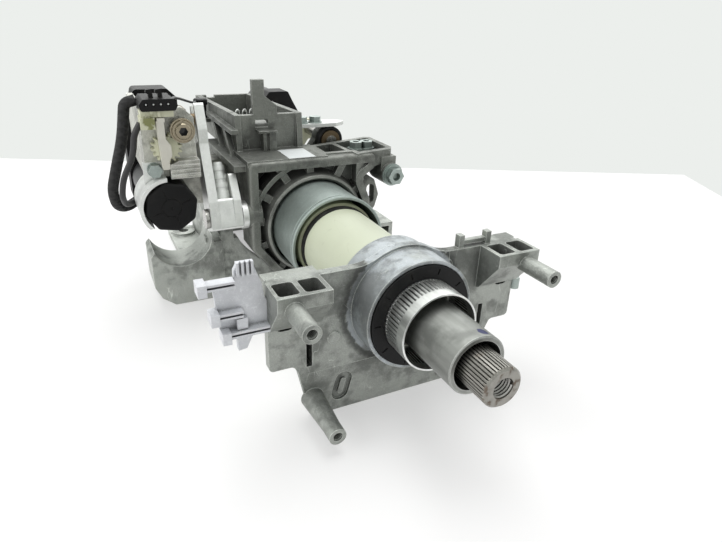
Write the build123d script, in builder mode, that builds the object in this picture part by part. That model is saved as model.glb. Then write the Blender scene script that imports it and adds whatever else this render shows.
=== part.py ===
"""Power-adjusted steering column, as a bench assembly.

Frame: millimetres, +Z up, +Y from the steering wheel end to the rear, +X to the right hand seen
from the wheel end. The origin is the centre of the shaft's splined end face, where the wheel sits.

The column lies as it does on a table: the front plate's lower edge and the bracket's foot both
touch the plane at FLOOR_Z.
"""
from build123d import *
import math
import os

os.makedirs("parts", exist_ok=True)

# Clearances
RUNNING = 0.08            # radial gap of a part that turns or slides in another
LOOSE = 0.3               # gap between faces that only pass each other
FLOOR_Z = -62.0           # plane that the column lies on

# Steering shaft, from the wheel end to the rear
SPLINE_R = 10.0
SPLINE_TEETH = 40
SPLINE_DEPTH = 0.6
SPLINE_LENGTH = 30.0
WHEEL_BOLT_R = 5.25       # wall of the M12 x 1.5 thread for the wheel bolt
WHEEL_BOLT_DEPTH = 24.0
SHAFT_COLLAR_R = 12.6
SHAFT_COLLAR_Y = 42.0
SHAFT_SEAT_R = 12.0
SHAFT_R = 9.5
HEX_Y = 250.0             # where the shaft turns into its sliding hexagon
HEX_END_Y = 345.0
HEX_FLATS = 15.0          # across flats

# Grey tube round the splined end
COLLAR_TUBE_Y = 17.5
COLLAR_TUBE_END_Y = 64.0
COLLAR_TUBE_R = 15.0

# Upper ball bearing
BEARING_Y = 70.3
BEARING_WIDTH = 11.0
BEARING_OUTER_R = 23.0
BALL_R = 2.4
BALL_COUNT = 12
GROOVE_GAP = 0.2
RACE_THICKNESS = 3.2

# Front bracket casting
PLATE_Y = 83.0
PLATE_THICKNESS = 5.0
PLATE_HALF_WIDTH = 75.0
PLATE_TOP_Z = 24.3
EAR_BOTTOM_Z = -25.5
SKIRT_HALF_WIDTH = 53.0
SKIRT_STEP = 2.0
SKIRT_STEP_Z = -32.0
GUSSET_LENGTH = 30.0
BOSS_R = 30.5
COLLAR_R = 32.0           # edge of the plate where it runs up over the boss
COLLAR_FILLET = 26.0
BOSS_Y = 65.0
BOSS_END_Y = 101.0
EAR_BOX_Y = 66.0
EAR_BOX_INNER_X = 48.0
EAR_POCKET_DEPTH = 9.0
OVAL_X = 66.2
OVAL_Z = -0.4
SLOT_X = 53.6
CUP_DEPTH = 13.0
GUSSET_X = 7.0
GUSSET_LEAN = 32.0        # degrees from upright
POST_R = 4.6
POST_HOLE_R = 2.5         # wall of the M6 thread in each post
POST_HOLE_DEPTH = 16.0
UPPER_POST_X = 67.0
UPPER_POST_Z = 17.0
UPPER_POST_Y = 44.8
LOWER_POST_X = 51.0
LOWER_POST_Z = -50.0
LOWER_POST_Y = 52.0

# Rings in the boss
RETAINER_Y = 63.8
RETAINER_DEPTH = 6.0
RETAINER_R = 28.4
RETAINER_MARKS = 10
FLUTED_RING_Y = 46.9
FLUTED_RING_R = 21.1
FLUTED_RING_WALL = 0.9
FLUTES = 64
FLUTE_DEPTH = 0.45

# Sliding inner tube
TUBE_R = 25.0
TUBE_WALL = 3.0
TUBE_END_Y = 315.0
BAND_Y = 163.5
BAND_R = 25.6
GUIDE_SLEEVE_Y = 168.0
GUIDE_SLEEVE_R = 27.2
GUIDE_RING_WIDTH = 10.0
GUIDE_RING_YS = (206.0, 280.0)
REACH = 30.0              # travel each way from rest

# Zinc plated outer sleeve
SLEEVE_Y = 166.0
SLEEVE_END_Y = 356.0
SLEEVE_R = 31.7
SLEEVE_WALL = 1.3
SLEEVE_LIP = 2.0

# Main housing casting
HOUSING_Y = 203.0
FLANGE_Y = 206.0
FLANGE_DEPTH = 24.0
FLANGE_HALF_WIDTH = 46.5
FLANGE_TOP_Z = 47.0
FLANGE_BOTTOM_Z = -47.0
FRAME_WALL = 6.0
FRAME_ROUND = 2.0
RING_BORE_R = 32.9
RING_R = 38.0
BARREL_R = 41.0
BARREL_END_Y = 372.0
RIB_WIDTH = 5.0
RIB_ANGLES = (33, 62, 94, 121, 147, 172, 198, 230, 262, 295, 330)
ARM_END_X = 65.0
ARM_WALL = 4.0

# Trough on top of the housing
TROUGH_LEFT_X = -45.0
TROUGH_RIGHT_X = 3.0
TROUGH_Y = 238.0
TROUGH_TOP_Y = 240.0
TROUGH_END_Y = 372.0
TROUGH_TOP_Z = 72.0
TROUGH_BACK_Z = 67.0
TROUGH_WALL = 4.0
FRONT_WALL_Y = 241.5
FRONT_WALL = 4.0
TAB_X = -27.5
TAB_HALF = 4.2
TAB_TOP_Z = 94.5
TERMINAL_Z = 65.0
TERMINAL_END_Y = 262.0
DECK_TOP_Z = 48.0

# Tilt: the housing swings about a cross axis at the rear
PIVOT_Y = 360.0
PIVOT_R = 6.0
CHEEK_X = 50.0
CHEEK_THICKNESS = 7.0

# Mounting bracket
WALL_Y = 250.0
WALL_THICKNESS = 9.0
FOOT_Y = 240.0
FOOT_LEFT_X = -110.0
HOOK_X = -88.0
HOOK_Z = -11.0
HOOK_R = 21.0
CRADLE_R = 50.0
HORN_X = 56.0
HORN_END_X = 76.0
HORN_Y = 228.0
HORN_TOP_Z = -16.0
HORN_WALL = 3.2
BASE_THICKNESS = 6.0
BASE_OUTER_X = 80.0
BASE_END_Y = 385.0
MOUNT_HOLE_R = 4.5
MOUNT_HOLE_X = 68.0
MOUNT_HOLE_YS = (278.0, 368.0)

# Tilt lever: a rocker on the housing, pushed by the spindle nut, that lifts against the bracket
LEVER_PIN_Y = 214.0
LEVER_PIN_Z = 11.0
LEVER_PIN_R = 4.0
LEVER_OUTER_X = -73.0
LEVER_INNER_X = -52.0
LEVER_PLATE = 6.0
LEVER_FOOT = 8.5
LINK_ARM = 29.0
LINK_PIN_R = 4.0
LINK_SLOT_GAP = 0.8

# Tilt drive: spindle, nut and gear motor on the left of the housing
SPINDLE_X = -86.0
SPINDLE_Z = 72.0
SPINDLE_R = 5.0
HUB_Y = 197.0
HUB_R = 7.2
NUT_LENGTH = 12.0
NUT_HALF = 8.0
GEAR_Y = 204.0
GEAR_WIDTH = 5.0
GEAR_MODULE = 1.0
TOOTH_TOP = 0.85          # in modules, above the pitch circle
PINION_TEETH = 12
WHEEL_TEETH = 16
WHEEL_ANGLE = 228.0       # where the sensor wheel sits round the spindle, in degrees from +X
MOTOR_X = -97.0
MOTOR_Z = 26.0
MOTOR_R = 15.0
CAP_R = 16.2
STRAP_WALL = 2.2
MOTOR_Y = 212.0
MOTOR_CAP_Y = 200.0
GEARBOX_Y = 274.0
GEARBOX_DEPTH = 22.0

# Reach drive: spindle beside the trough, on a line through the column axis
REACH_ANGLE = 55.0        # degrees up from +X
REACH_RADIUS = 57.0
REACH_SPINDLE_R = 4.0
REACH_FRONT_Y = 256.0
REACH_NUT_Y = 308.0
REACH_NUT_LENGTH = 12.0
REACH_GEARBOX_Y = 348.0

# Lower shaft
LOWER_SHAFT_Y = 290.0
LOWER_SHAFT_R = 12.0
LOWER_SHAFT_END_Y = 424.0
YOKE_Y = 402.3
YOKE_R = 14.5
YOKE_BORE_R = 9.0
YOKE_EYE_R = 7.0
YOKE_EYE_Y = 446.0
REAR_PLATE_THICKNESS = 12.0

BOSS_BORE_Y = BOSS_Y + RETAINER_DEPTH - (BOSS_Y - RETAINER_Y)
BEARING_END_Y = BEARING_Y + BEARING_WIDTH
TUBE_Y = BEARING_END_Y + 5.0
LINK_Y = LEVER_PIN_Y + LINK_ARM
REACH_X = REACH_RADIUS * math.cos(math.radians(REACH_ANGLE))
REACH_Z = REACH_RADIUS * math.sin(math.radians(REACH_ANGLE))
REACH_PLANE = Plane(
    origin=(0, REACH_NUT_Y, 0),
    x_dir=(0, 1, 0),
    z_dir=(math.cos(math.radians(REACH_ANGLE)), 0, math.sin(math.radians(REACH_ANGLE))),
)


def across(y):
    """The plane square to the column axis at y: its x is X, its y is Z, its normal is -Y."""
    return Plane.XZ.offset(-y)


def beside(x):
    """The plane square to X at x: its x is Y and its y is Z."""
    return Plane.YZ.offset(x)


def rod(y, end_y, radius, x=0.0, z=0.0, bore=0.0):
    """A face on the plane at y, for a rod or tube along Y, and its extruded length."""
    with BuildSketch(across(y)) as face:
        with Locations((x, z)):
            Circle(radius)
            if bore:
                Circle(bore, mode=Mode.SUBTRACT)
    return extrude(face.sketch, amount=-(end_y - y), mode=Mode.PRIVATE)


def turned(points, x=0.0, z=0.0):
    """A solid turned about the line along Y through x and z, from (y, radius) points."""
    with BuildSketch(Plane(origin=(x, 0, z), x_dir=(0, 1, 0), z_dir=(1, 0, 0))) as outline:
        with BuildLine():
            Polyline(*points, close=True)
        make_face()
    return revolve(outline.sketch, axis=Axis((x, 0, z), (0, 1, 0)), mode=Mode.PRIVATE)


def cross_rod(x, end_x, radius, y, z, bore=0.0):
    """A rod or tube along X from x to end_x, centred on y and z."""
    with BuildSketch(beside(x)) as face:
        with Locations((y, z)):
            Circle(radius)
            if bore:
                Circle(bore, mode=Mode.SUBTRACT)
    return extrude(face.sketch, amount=end_x - x, mode=Mode.PRIVATE)


def upright_rod(x, y, z, top_z, radius, bore=0.0):
    """A rod or tube along Z from z to top_z."""
    with BuildSketch(Plane.XY.offset(z)) as face:
        with Locations((x, y)):
            Circle(radius)
            if bore:
                Circle(bore, mode=Mode.SUBTRACT)
    return extrude(face.sketch, amount=top_z - z, mode=Mode.PRIVATE)


def block(x, end_x, y, end_y, z, end_z):
    """A block between two corners."""
    with BuildSketch(Plane.XY.offset(z)) as face:
        with Locations(((x + end_x) / 2, (y + end_y) / 2)):
            Rectangle(end_x - x, end_y - y)
    return extrude(face.sketch, amount=end_z - z, mode=Mode.PRIVATE)


def slab_across(points, y, end_y, radius=0.0):
    """A slab between two planes square to the axis, from (x, z) points with rounded corners."""
    with BuildSketch(across(y)) as face:
        with BuildLine():
            Polyline(*points, close=True)
        make_face()
        if radius:
            fillet(face.vertices(), radius)
    return extrude(face.sketch, amount=-(end_y - y), mode=Mode.PRIVATE)


def slab_beside(points, x, end_x, radius=0.0):
    """A slab between two planes square to X, from (y, z) points with rounded corners."""
    with BuildSketch(beside(x)) as face:
        with BuildLine():
            Polyline(*points, close=True)
        make_face()
        if radius:
            fillet(face.vertices(), radius)
    return extrude(face.sketch, amount=end_x - x, mode=Mode.PRIVATE)


def hexagon_rod(y, end_y, flats, x=0.0, z=0.0):
    """A hexagonal bar along Y."""
    with BuildSketch(across(y)) as face:
        with Locations((x, z)):
            RegularPolygon(flats / 2, 6, major_radius=False)
    return extrude(face.sketch, amount=-(end_y - y), mode=Mode.PRIVATE)


def spur_outline(teeth, bore, x=0.0, z=0.0, turn=0.0):
    """A spur gear's face at GEAR_Y with straight-sided teeth thinned for backlash."""
    pitch_r = GEAR_MODULE * teeth / 2
    root_r = pitch_r - 1.25 * GEAR_MODULE
    tip_r = pitch_r + TOOTH_TOP * GEAR_MODULE
    pitch_angle = 360 / teeth
    with BuildSketch(across(GEAR_Y)) as face:
        with Locations((x, z)):
            Circle(root_r)
            with PolarLocations(0, teeth, start_angle=turn):
                with BuildLine(mode=Mode.PRIVATE) as flank:
                    root_half = math.radians(pitch_angle * 0.30)
                    mid_half = math.radians(pitch_angle * 0.20)
                    tip_half = math.radians(pitch_angle * 0.085)
                    Polyline(
                        (root_r * math.cos(root_half) - 0.4, -root_r * math.sin(root_half)),
                        (pitch_r * math.cos(mid_half), -pitch_r * math.sin(mid_half)),
                        (tip_r * math.cos(tip_half), -tip_r * math.sin(tip_half)),
                        (tip_r * math.cos(tip_half), tip_r * math.sin(tip_half)),
                        (pitch_r * math.cos(mid_half), pitch_r * math.sin(mid_half)),
                        (root_r * math.cos(root_half) - 0.4, root_r * math.sin(root_half)),
                        close=True,
                    )
                tooth = make_face(flank.line, mode=Mode.PRIVATE)
                add(tooth)
            Circle(bore, mode=Mode.SUBTRACT)
    return face.sketch


# Steering shaft: serrated end, collar for the grey tube, bearing seat, sliding hexagon
with BuildPart() as steering_shaft:
    add(turned([
        (0, 0), (0, SPLINE_R - 1.1), (1.1, SPLINE_R), (SPLINE_LENGTH, SPLINE_R),
        (SPLINE_LENGTH + 2, SPLINE_R - 1.2), (SHAFT_COLLAR_Y - 2, SPLINE_R - 1.2),
        (SHAFT_COLLAR_Y, SHAFT_COLLAR_R), (COLLAR_TUBE_END_Y - 4, SHAFT_COLLAR_R),
        (COLLAR_TUBE_END_Y - 4, SHAFT_SEAT_R), (BEARING_END_Y, SHAFT_SEAT_R),
        (BEARING_END_Y, SHAFT_SEAT_R - 0.8), (BEARING_END_Y + 1.3, SHAFT_SEAT_R - 0.8),
        (BEARING_END_Y + 1.3, SHAFT_SEAT_R), (BEARING_END_Y + 3, SHAFT_SEAT_R),
        (BEARING_END_Y + 6, SHAFT_R), (HEX_Y, SHAFT_R), (HEX_Y + 3, 0),
    ]))
    with BuildSketch(across(0)) as serrations:
        with PolarLocations(SPLINE_R, SPLINE_TEETH):
            RegularPolygon(SPLINE_DEPTH, 3, rotation=180)
    extrude(amount=-SPLINE_LENGTH, mode=Mode.SUBTRACT)
    add(turned([
        (0, 0), (0, WHEEL_BOLT_R), (WHEEL_BOLT_DEPTH, WHEEL_BOLT_R),
        (WHEEL_BOLT_DEPTH + WHEEL_BOLT_R / 2, 0),
    ]), mode=Mode.SUBTRACT)
    add(hexagon_rod(HEX_Y - 2, HEX_END_Y, HEX_FLATS))
steering_shaft.part.label = "steering_shaft"
export_step(steering_shaft.part, "parts/steering_shaft.step")

# Satin grey tube pressed on the shaft's collar, standing clear of the serrations
with BuildPart() as shaft_collar_tube:
    add(turned([
        (COLLAR_TUBE_Y, SHAFT_COLLAR_R), (COLLAR_TUBE_Y, COLLAR_TUBE_R - 0.5),
        (COLLAR_TUBE_Y + 0.5, COLLAR_TUBE_R), (COLLAR_TUBE_END_Y, COLLAR_TUBE_R),
        (COLLAR_TUBE_END_Y, SHAFT_COLLAR_R),
    ]))
shaft_collar_tube.part.label = "shaft_collar_tube"
export_step(shaft_collar_tube.part, "parts/shaft_collar_tube.step")

# Upper ball bearing: two races with a ball groove each, and the balls
BALL_RING_R = (SHAFT_SEAT_R + BEARING_OUTER_R) / 2
BALL_Y = BEARING_Y + BEARING_WIDTH / 2
groove = turned([(BALL_Y + (BALL_R + GROOVE_GAP) * math.cos(math.radians(a)),
                  BALL_RING_R + (BALL_R + GROOVE_GAP) * math.sin(math.radians(a)))
                 for a in range(0, 360, 20)])
with BuildPart() as bearing_inner_race:
    add(rod(BEARING_Y, BEARING_END_Y, SHAFT_SEAT_R + RACE_THICKNESS, bore=SHAFT_SEAT_R))
    add(groove, mode=Mode.SUBTRACT)
bearing_inner_race.part.label = "bearing_inner_race"
export_step(bearing_inner_race.part, "parts/bearing_inner_race.step")

with BuildPart() as bearing_outer_race:
    add(rod(BEARING_Y, BEARING_END_Y, BEARING_OUTER_R, bore=BEARING_OUTER_R - RACE_THICKNESS))
    add(groove, mode=Mode.SUBTRACT)
bearing_outer_race.part.label = "bearing_outer_race"
export_step(bearing_outer_race.part, "parts/bearing_outer_race.step")

with BuildPart() as bearing_balls:
    with Locations(across(BALL_Y)):
        with PolarLocations(BALL_RING_R, BALL_COUNT):
            Sphere(BALL_R)
bearing_balls.part.label = "bearing_balls"
export_step(bearing_balls.part, "parts/bearing_balls.step")

# Snap ring behind the inner race
with BuildPart() as shaft_snap_ring:
    with BuildSketch(across(BEARING_END_Y + 0.05)) as ring_face:
        Circle(SHAFT_SEAT_R + 1.8)
        Circle(SHAFT_SEAT_R - 0.75, mode=Mode.SUBTRACT)
        with Locations((0, -SHAFT_SEAT_R)):
            Rectangle(5, 6, mode=Mode.SUBTRACT)
    extrude(amount=-1.2)
shaft_snap_ring.part.label = "shaft_snap_ring"
export_step(shaft_snap_ring.part, "parts/shaft_snap_ring.step")

# Front bracket: plate with two ears, bearing boss, ear boxes, four posts and a lower skirt
with BuildPart() as front_bracket:
    with BuildSketch(across(PLATE_Y)) as plate_face:
        with BuildLine():
            Polyline(
                (0, PLATE_TOP_Z), (-PLATE_HALF_WIDTH, PLATE_TOP_Z),
                (-PLATE_HALF_WIDTH, EAR_BOTTOM_Z), (-PLATE_HALF_WIDTH + 13, EAR_BOTTOM_Z),
                (-SKIRT_HALF_WIDTH - 6, SKIRT_STEP_Z), (-SKIRT_HALF_WIDTH, -58),
                (-SKIRT_HALF_WIDTH + 7, FLOOR_Z), (0, FLOOR_Z), close=True,
            )
        make_face()
        fillet(plate_face.vertices().filter_by(lambda v: v.X < -40), 2.5)
        mirror(about=Plane.YZ)
        Circle(COLLAR_R)
        fillet(plate_face.vertices().filter_by(
            lambda v: abs(v.Y - PLATE_TOP_Z) < 0.1 and abs(v.X) < COLLAR_R), COLLAR_FILLET)
    extrude(amount=-PLATE_THICKNESS)
    # the skirt below the crease stands back from the ears
    add(block(-PLATE_HALF_WIDTH, PLATE_HALF_WIDTH, PLATE_Y, PLATE_Y + SKIRT_STEP,
              FLOOR_Z - 1, SKIRT_STEP_Z), mode=Mode.SUBTRACT)
    add(rod(BOSS_Y, BOSS_END_Y, BOSS_R))
    # bottom flange and the rear ribs that stiffen the plate
    add(block(-SKIRT_HALF_WIDTH + 8, SKIRT_HALF_WIDTH - 8, PLATE_Y + SKIRT_STEP,
              PLATE_Y + 13, FLOOR_Z, FLOOR_Z + 3))
    for side in (-1, 1):
        ear = sorted((side * EAR_BOX_INNER_X, side * PLATE_HALF_WIDTH))
        add(slab_beside([
            (EAR_BOX_Y, PLATE_TOP_Z), (PLATE_Y + 1, PLATE_TOP_Z),
            (PLATE_Y + 1, -2), (PLATE_Y - 3, 0), (EAR_BOX_Y, PLATE_TOP_Z - 7),
        ], ear[0], ear[1]))
        add(rod(UPPER_POST_Y, PLATE_Y + 1, POST_R, x=side * UPPER_POST_X, z=UPPER_POST_Z))
        add(rod(LOWER_POST_Y, PLATE_Y + 3, POST_R, x=side * LOWER_POST_X, z=LOWER_POST_Z))
        add(turned([(LOWER_POST_Y + 8, 0), (LOWER_POST_Y + 8, POST_R), (PLATE_Y + 3, POST_R + 1.8),
                    (PLATE_Y + 3, 0)], x=side * LOWER_POST_X, z=LOWER_POST_Z))
        for x, y, z in ((UPPER_POST_X, UPPER_POST_Y, UPPER_POST_Z),
                        (LOWER_POST_X, LOWER_POST_Y, LOWER_POST_Z)):
            add(rod(y, y + POST_HOLE_DEPTH, POST_HOLE_R, x=side * x, z=z), mode=Mode.SUBTRACT)
        # two rounded core pockets, open on top of the ear box
        with BuildSketch(Plane.XY.offset(PLATE_TOP_Z - EAR_POCKET_DEPTH)):
            for pocket_x in (EAR_BOX_INNER_X + 7.4, EAR_BOX_INNER_X + 20.2):
                with Locations((side * pocket_x, (EAR_BOX_Y + PLATE_Y) / 2 + 0.3)):
                    RectangleRounded(10.2, 13.2, 1.8)
        extrude(amount=EAR_POCKET_DEPTH + 1, mode=Mode.SUBTRACT)
        # blind oval hole and blind slot, each with its cup behind the plate
        add(block(side * OVAL_X - 7, side * OVAL_X + 7, PLATE_Y + 4, PLATE_Y + CUP_DEPTH + 2,
                  OVAL_Z - 5, OVAL_Z + 5))
        add(block(side * SLOT_X - 4, side * SLOT_X + 4, PLATE_Y + 4, PLATE_Y + CUP_DEPTH + 2, -30, -11))
        with BuildSketch(across(PLATE_Y - 1)):
            with Locations((side * OVAL_X, OVAL_Z)):
                SlotOverall(8.6, 5.4)
            with Locations((side * SLOT_X, -20.5)):
                Rectangle(3.2, 14)
        extrude(amount=-(CUP_DEPTH + 1), mode=Mode.SUBTRACT)
        # leaning gusset from under the boss out to the skirt
        lean = math.radians(GUSSET_LEAN)
        gusset_plane = Plane(origin=(side * GUSSET_X, 0, -BOSS_R + 3), x_dir=(0, 1, 0),
                             z_dir=(math.cos(lean), 0, -side * math.sin(lean)))
        with BuildSketch(gusset_plane):
            with BuildLine():
                Polyline((BOSS_Y + 4, 0), (PLATE_Y + 3, 0), (PLATE_Y + 3, GUSSET_LENGTH), close=True)
            make_face()
        extrude(amount=1.5, both=True)
        # oval core pocket in the skirt, and the rear stiffening rib of the ear
        with BuildSketch(across(PLATE_Y + SKIRT_STEP)):
            with Locations((side * 34, -47)):
                SlotOverall(18, 10, rotation=75)
                SlotOverall(10, 3, rotation=75, mode=Mode.SUBTRACT)
        extrude(amount=-1.8, mode=Mode.SUBTRACT)
        add(block(side * 61 - 13.5, side * 61 + 13.5, PLATE_Y + 4, PLATE_Y + 11,
                  PLATE_TOP_Z - 3, PLATE_TOP_Z))
    # round cast pad on the left, wire rail behind the right ear
    add(rod(PLATE_Y - 0.6, PLATE_Y + 1, 3.6, x=-40, z=-13.2))
    for x in (35.5, 53.5):
        add(block(x - 1.6, x + 1.6, PLATE_Y + 1, PLATE_Y + 5, PLATE_TOP_Z - 1, 31.5))
    add(block(35.5, 53.5, PLATE_Y + 2, PLATE_Y + 5, 25.8, 28))
    # bores for the retainer, the bearing and the inner tube
    add(turned([
        (BOSS_Y - 1, 0), (BOSS_Y - 1, RETAINER_R + LOOSE), (BOSS_BORE_Y, RETAINER_R + LOOSE),
        (BOSS_BORE_Y, BEARING_OUTER_R), (BEARING_END_Y, BEARING_OUTER_R),
        (BEARING_END_Y, BEARING_OUTER_R - 3), (TUBE_Y, BEARING_OUTER_R - 3),
        (TUBE_Y, TUBE_R), (BOSS_END_Y + 1, TUBE_R), (BOSS_END_Y + 1, 0),
    ]), mode=Mode.SUBTRACT)
front_bracket.part.label = "front_bracket"
export_step(front_bracket.part, "parts/front_bracket.step")

# Black ring that holds the bearing in the boss, with small radial marks
with BuildPart() as bearing_retainer:
    add(rod(RETAINER_Y, BOSS_BORE_Y, RETAINER_R, bore=FLUTED_RING_R + LOOSE))
    with BuildSketch(across(RETAINER_Y)):
        with PolarLocations((RETAINER_R + FLUTED_RING_R) / 2 + 0.4, RETAINER_MARKS):
            Rectangle(3.4, 0.9)
    extrude(amount=-0.7, mode=Mode.SUBTRACT)
bearing_retainer.part.label = "bearing_retainer"
export_step(bearing_retainer.part, "parts/bearing_retainer.step")

# Thin bright ring with a fluted band, seated against the bearing
with BuildPart() as fluted_ring:
    add(rod(FLUTED_RING_Y, BEARING_Y, FLUTED_RING_R, bore=FLUTED_RING_R - FLUTED_RING_WALL))
    with BuildSketch(across(FLUTED_RING_Y + 6)):
        with PolarLocations(FLUTED_RING_R, FLUTES):
            Rectangle(2 * FLUTE_DEPTH, 1.1)
    extrude(amount=-(RETAINER_Y - FLUTED_RING_Y - 6.5), mode=Mode.SUBTRACT)
fluted_ring.part.label = "fluted_ring"
export_step(fluted_ring.part, "parts/fluted_ring.step")

# Grey panel on the left ear with three cable rails and a latch finger
with BuildPart() as harness_clip_carrier:
    panel_y = PLATE_Y - 1.0
    ear_x = -PLATE_HALF_WIDTH
    add(slab_across([(ear_x, 17), (ear_x - 2, 18), (ear_x - 15, 30), (ear_x - 24, 25),
                     (ear_x - 22, 1), (ear_x, 1)], panel_y, panel_y + 2.5))
    for rail_z, rail_x, rail_end_x in ((29.5, -29.5, -15.0), (14.0, -25.0, -12.0), (3.6, -20.5, 0.0)):
        add(block(ear_x + rail_x, ear_x + rail_end_x, panel_y - 4.5, panel_y + 1,
                  rail_z - 1.6, rail_z + 1.6))
        add(block(ear_x + rail_x, ear_x + rail_end_x + 0.5, panel_y - 5, panel_y - 1.6,
                  rail_z - 0.5, rail_z + 0.5), mode=Mode.SUBTRACT)
        add(block(ear_x + rail_x - 2, ear_x + rail_x + 2, panel_y - 6, panel_y + 2,
                  rail_z - 3.2, rail_z + 2.6))
    add(block(ear_x - 15, ear_x - 10, panel_y - 3, panel_y + 1, 5.5, 11))
    add(slab_across([(ear_x - 15, 1), (ear_x - 15, -6), (ear_x - 11, -5.5), (ear_x - 8, 1)],
                    panel_y - 2.5, panel_y + 1.5))
    add(slab_across([(ear_x, 12), (ear_x - 14.4, 24), (ear_x - 14.4, 34), (ear_x - 12.5, 37.5),
                     (ear_x - 6, 37.5), (ear_x - 2, 26)], panel_y, panel_y + 2.5))
    for ridge in range(4):
        ridge_x = ear_x - 13.4 + ridge * 2.2
        add(block(ridge_x, ridge_x + 1.2, panel_y - 1.6, panel_y + 1, 31.5, 38.2))
harness_clip_carrier.part.label = "harness_clip_carrier"
export_step(harness_clip_carrier.part, "parts/harness_clip_carrier.step")

# Small spring clip on the right ear's edge
with BuildPart() as ear_clip:
    with BuildSketch(Plane.XY.offset(-8)):
        with Locations((PLATE_HALF_WIDTH + 3.2, PLATE_Y + 1.5)):
            Circle(3.2)
            Circle(2.2, mode=Mode.SUBTRACT)
            with Locations((3, -1.5)):
                Rectangle(4, 2.4, mode=Mode.SUBTRACT)
    extrude(amount=7)
ear_clip.part.label = "ear_clip"
export_step(ear_clip.part, "parts/ear_clip.step")

# Cream inner tube, pressed in the boss, with its driver boss for the reach nut
with BuildPart() as inner_tube:
    add(rod(TUBE_Y, TUBE_END_Y, TUBE_R, bore=TUBE_R - TUBE_WALL))
inner_tube.part.label = "inner_tube"
export_step(inner_tube.part, "parts/inner_tube.step")

with BuildPart() as tube_band:
    add(rod(BAND_Y, GUIDE_SLEEVE_Y, BAND_R, bore=TUBE_R))
tube_band.part.label = "tube_band"
export_step(tube_band.part, "parts/tube_band.step")

with BuildPart() as guide_sleeve:
    add(turned([
        (GUIDE_SLEEVE_Y, TUBE_R), (GUIDE_SLEEVE_Y, GUIDE_SLEEVE_R - 0.8),
        (GUIDE_SLEEVE_Y + 0.8, GUIDE_SLEEVE_R), (TUBE_END_Y, GUIDE_SLEEVE_R), (TUBE_END_Y, TUBE_R),
    ]))
guide_sleeve.part.label = "guide_sleeve"
export_step(guide_sleeve.part, "parts/guide_sleeve.step")

# Two plastic rings on which the inner tube slides in the zinc sleeve
SLEEVE_BORE_R = SLEEVE_R - SLEEVE_WALL
with BuildPart() as guide_rings:
    for ring_y in GUIDE_RING_YS:
        add(rod(ring_y, ring_y + GUIDE_RING_WIDTH, SLEEVE_BORE_R - RUNNING, bore=GUIDE_SLEEVE_R))
guide_rings.part.label = "guide_rings"
export_step(guide_rings.part, "parts/guide_rings.step")

# Reach nut: threaded block whose foot reaches through both slots to the guide sleeve
NUT_FOOT_HALF = 4.0
SLOT_HALF_WIDTH = NUT_FOOT_HALF + 1.0
SLOT_HALF_LENGTH = REACH_NUT_LENGTH / 2 + REACH + SLOT_HALF_WIDTH
with BuildPart() as reach_nut:
    with BuildSketch(REACH_PLANE.offset(GUIDE_SLEEVE_R - 1)):
        Rectangle(REACH_NUT_LENGTH, 2 * NUT_FOOT_HALF)
    extrude(amount=REACH_RADIUS - GUIDE_SLEEVE_R)
    add(rod(REACH_NUT_Y - REACH_NUT_LENGTH / 2, REACH_NUT_Y + REACH_NUT_LENGTH / 2, 8.0,
            x=REACH_X, z=REACH_Z))
    add(rod(REACH_NUT_Y - REACH_NUT_LENGTH, REACH_NUT_Y + REACH_NUT_LENGTH,
            REACH_SPINDLE_R + RUNNING, x=REACH_X, z=REACH_Z), mode=Mode.SUBTRACT)
    add(rod(REACH_NUT_Y - REACH_NUT_LENGTH, REACH_NUT_Y + REACH_NUT_LENGTH, GUIDE_SLEEVE_R),
        mode=Mode.SUBTRACT)
reach_nut.part.label = "reach_nut"
export_step(reach_nut.part, "parts/reach_nut.step")


def reach_slot(inner_r, outer_r):
    """The slot along the column that the reach nut's foot runs in."""
    with BuildSketch(REACH_PLANE.offset(inner_r)) as face:
        SlotOverall(2 * SLOT_HALF_LENGTH, 2 * SLOT_HALF_WIDTH)
    return extrude(face.sketch, amount=outer_r - inner_r, mode=Mode.PRIVATE)


# Zinc plated outer sleeve with a rolled lip
with BuildPart() as outer_sleeve:
    add(turned([
        (SLEEVE_Y, SLEEVE_BORE_R), (SLEEVE_Y, SLEEVE_R), (SLEEVE_Y + 0.6, SLEEVE_R + 0.7),
        (SLEEVE_Y + SLEEVE_LIP, SLEEVE_R + 0.7), (SLEEVE_Y + SLEEVE_LIP + 0.5, SLEEVE_R - 0.3),
        (SLEEVE_Y + SLEEVE_LIP + 1.6, SLEEVE_R - 0.3), (SLEEVE_Y + SLEEVE_LIP + 2.1, SLEEVE_R + 0.5),
        (SLEEVE_Y + SLEEVE_LIP + 3.6, SLEEVE_R + 0.5), (SLEEVE_Y + SLEEVE_LIP + 4.4, SLEEVE_R),
        (SLEEVE_END_Y, SLEEVE_R), (SLEEVE_END_Y, SLEEVE_BORE_R),
    ]))
    add(reach_slot(20, SLEEVE_R + 5), mode=Mode.SUBTRACT)
outer_sleeve.part.label = "outer_sleeve"
export_step(outer_sleeve.part, "parts/outer_sleeve.step")

REAR_SCREW_R = 36.9
REAR_RIM = 4.0
REAR_SCREW_DEPTH = 9.0


def rear_screws(end_y, head):
    """Four screw shanks from end_y to the rear plate's rim, with heads of a given height."""
    with BuildPart(mode=Mode.PRIVATE) as screws:
        for angle in (45, 135, 225, 315):
            x = REAR_SCREW_R * math.cos(math.radians(angle))
            z = REAR_SCREW_R * math.sin(math.radians(angle))
            add(rod(end_y, BARREL_END_Y + REAR_RIM, 1.8, x=x, z=z))
            if head:
                add(rod(BARREL_END_Y + REAR_RIM, BARREL_END_Y + REAR_RIM + head, 3.4, x=x, z=z))
                add(hexagon_rod(BARREL_END_Y + REAR_RIM + 1.4, BARREL_END_Y + REAR_RIM + head + 1, 2.8,
                                x=x, z=z), mode=Mode.SUBTRACT)
    return screws.part


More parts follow.
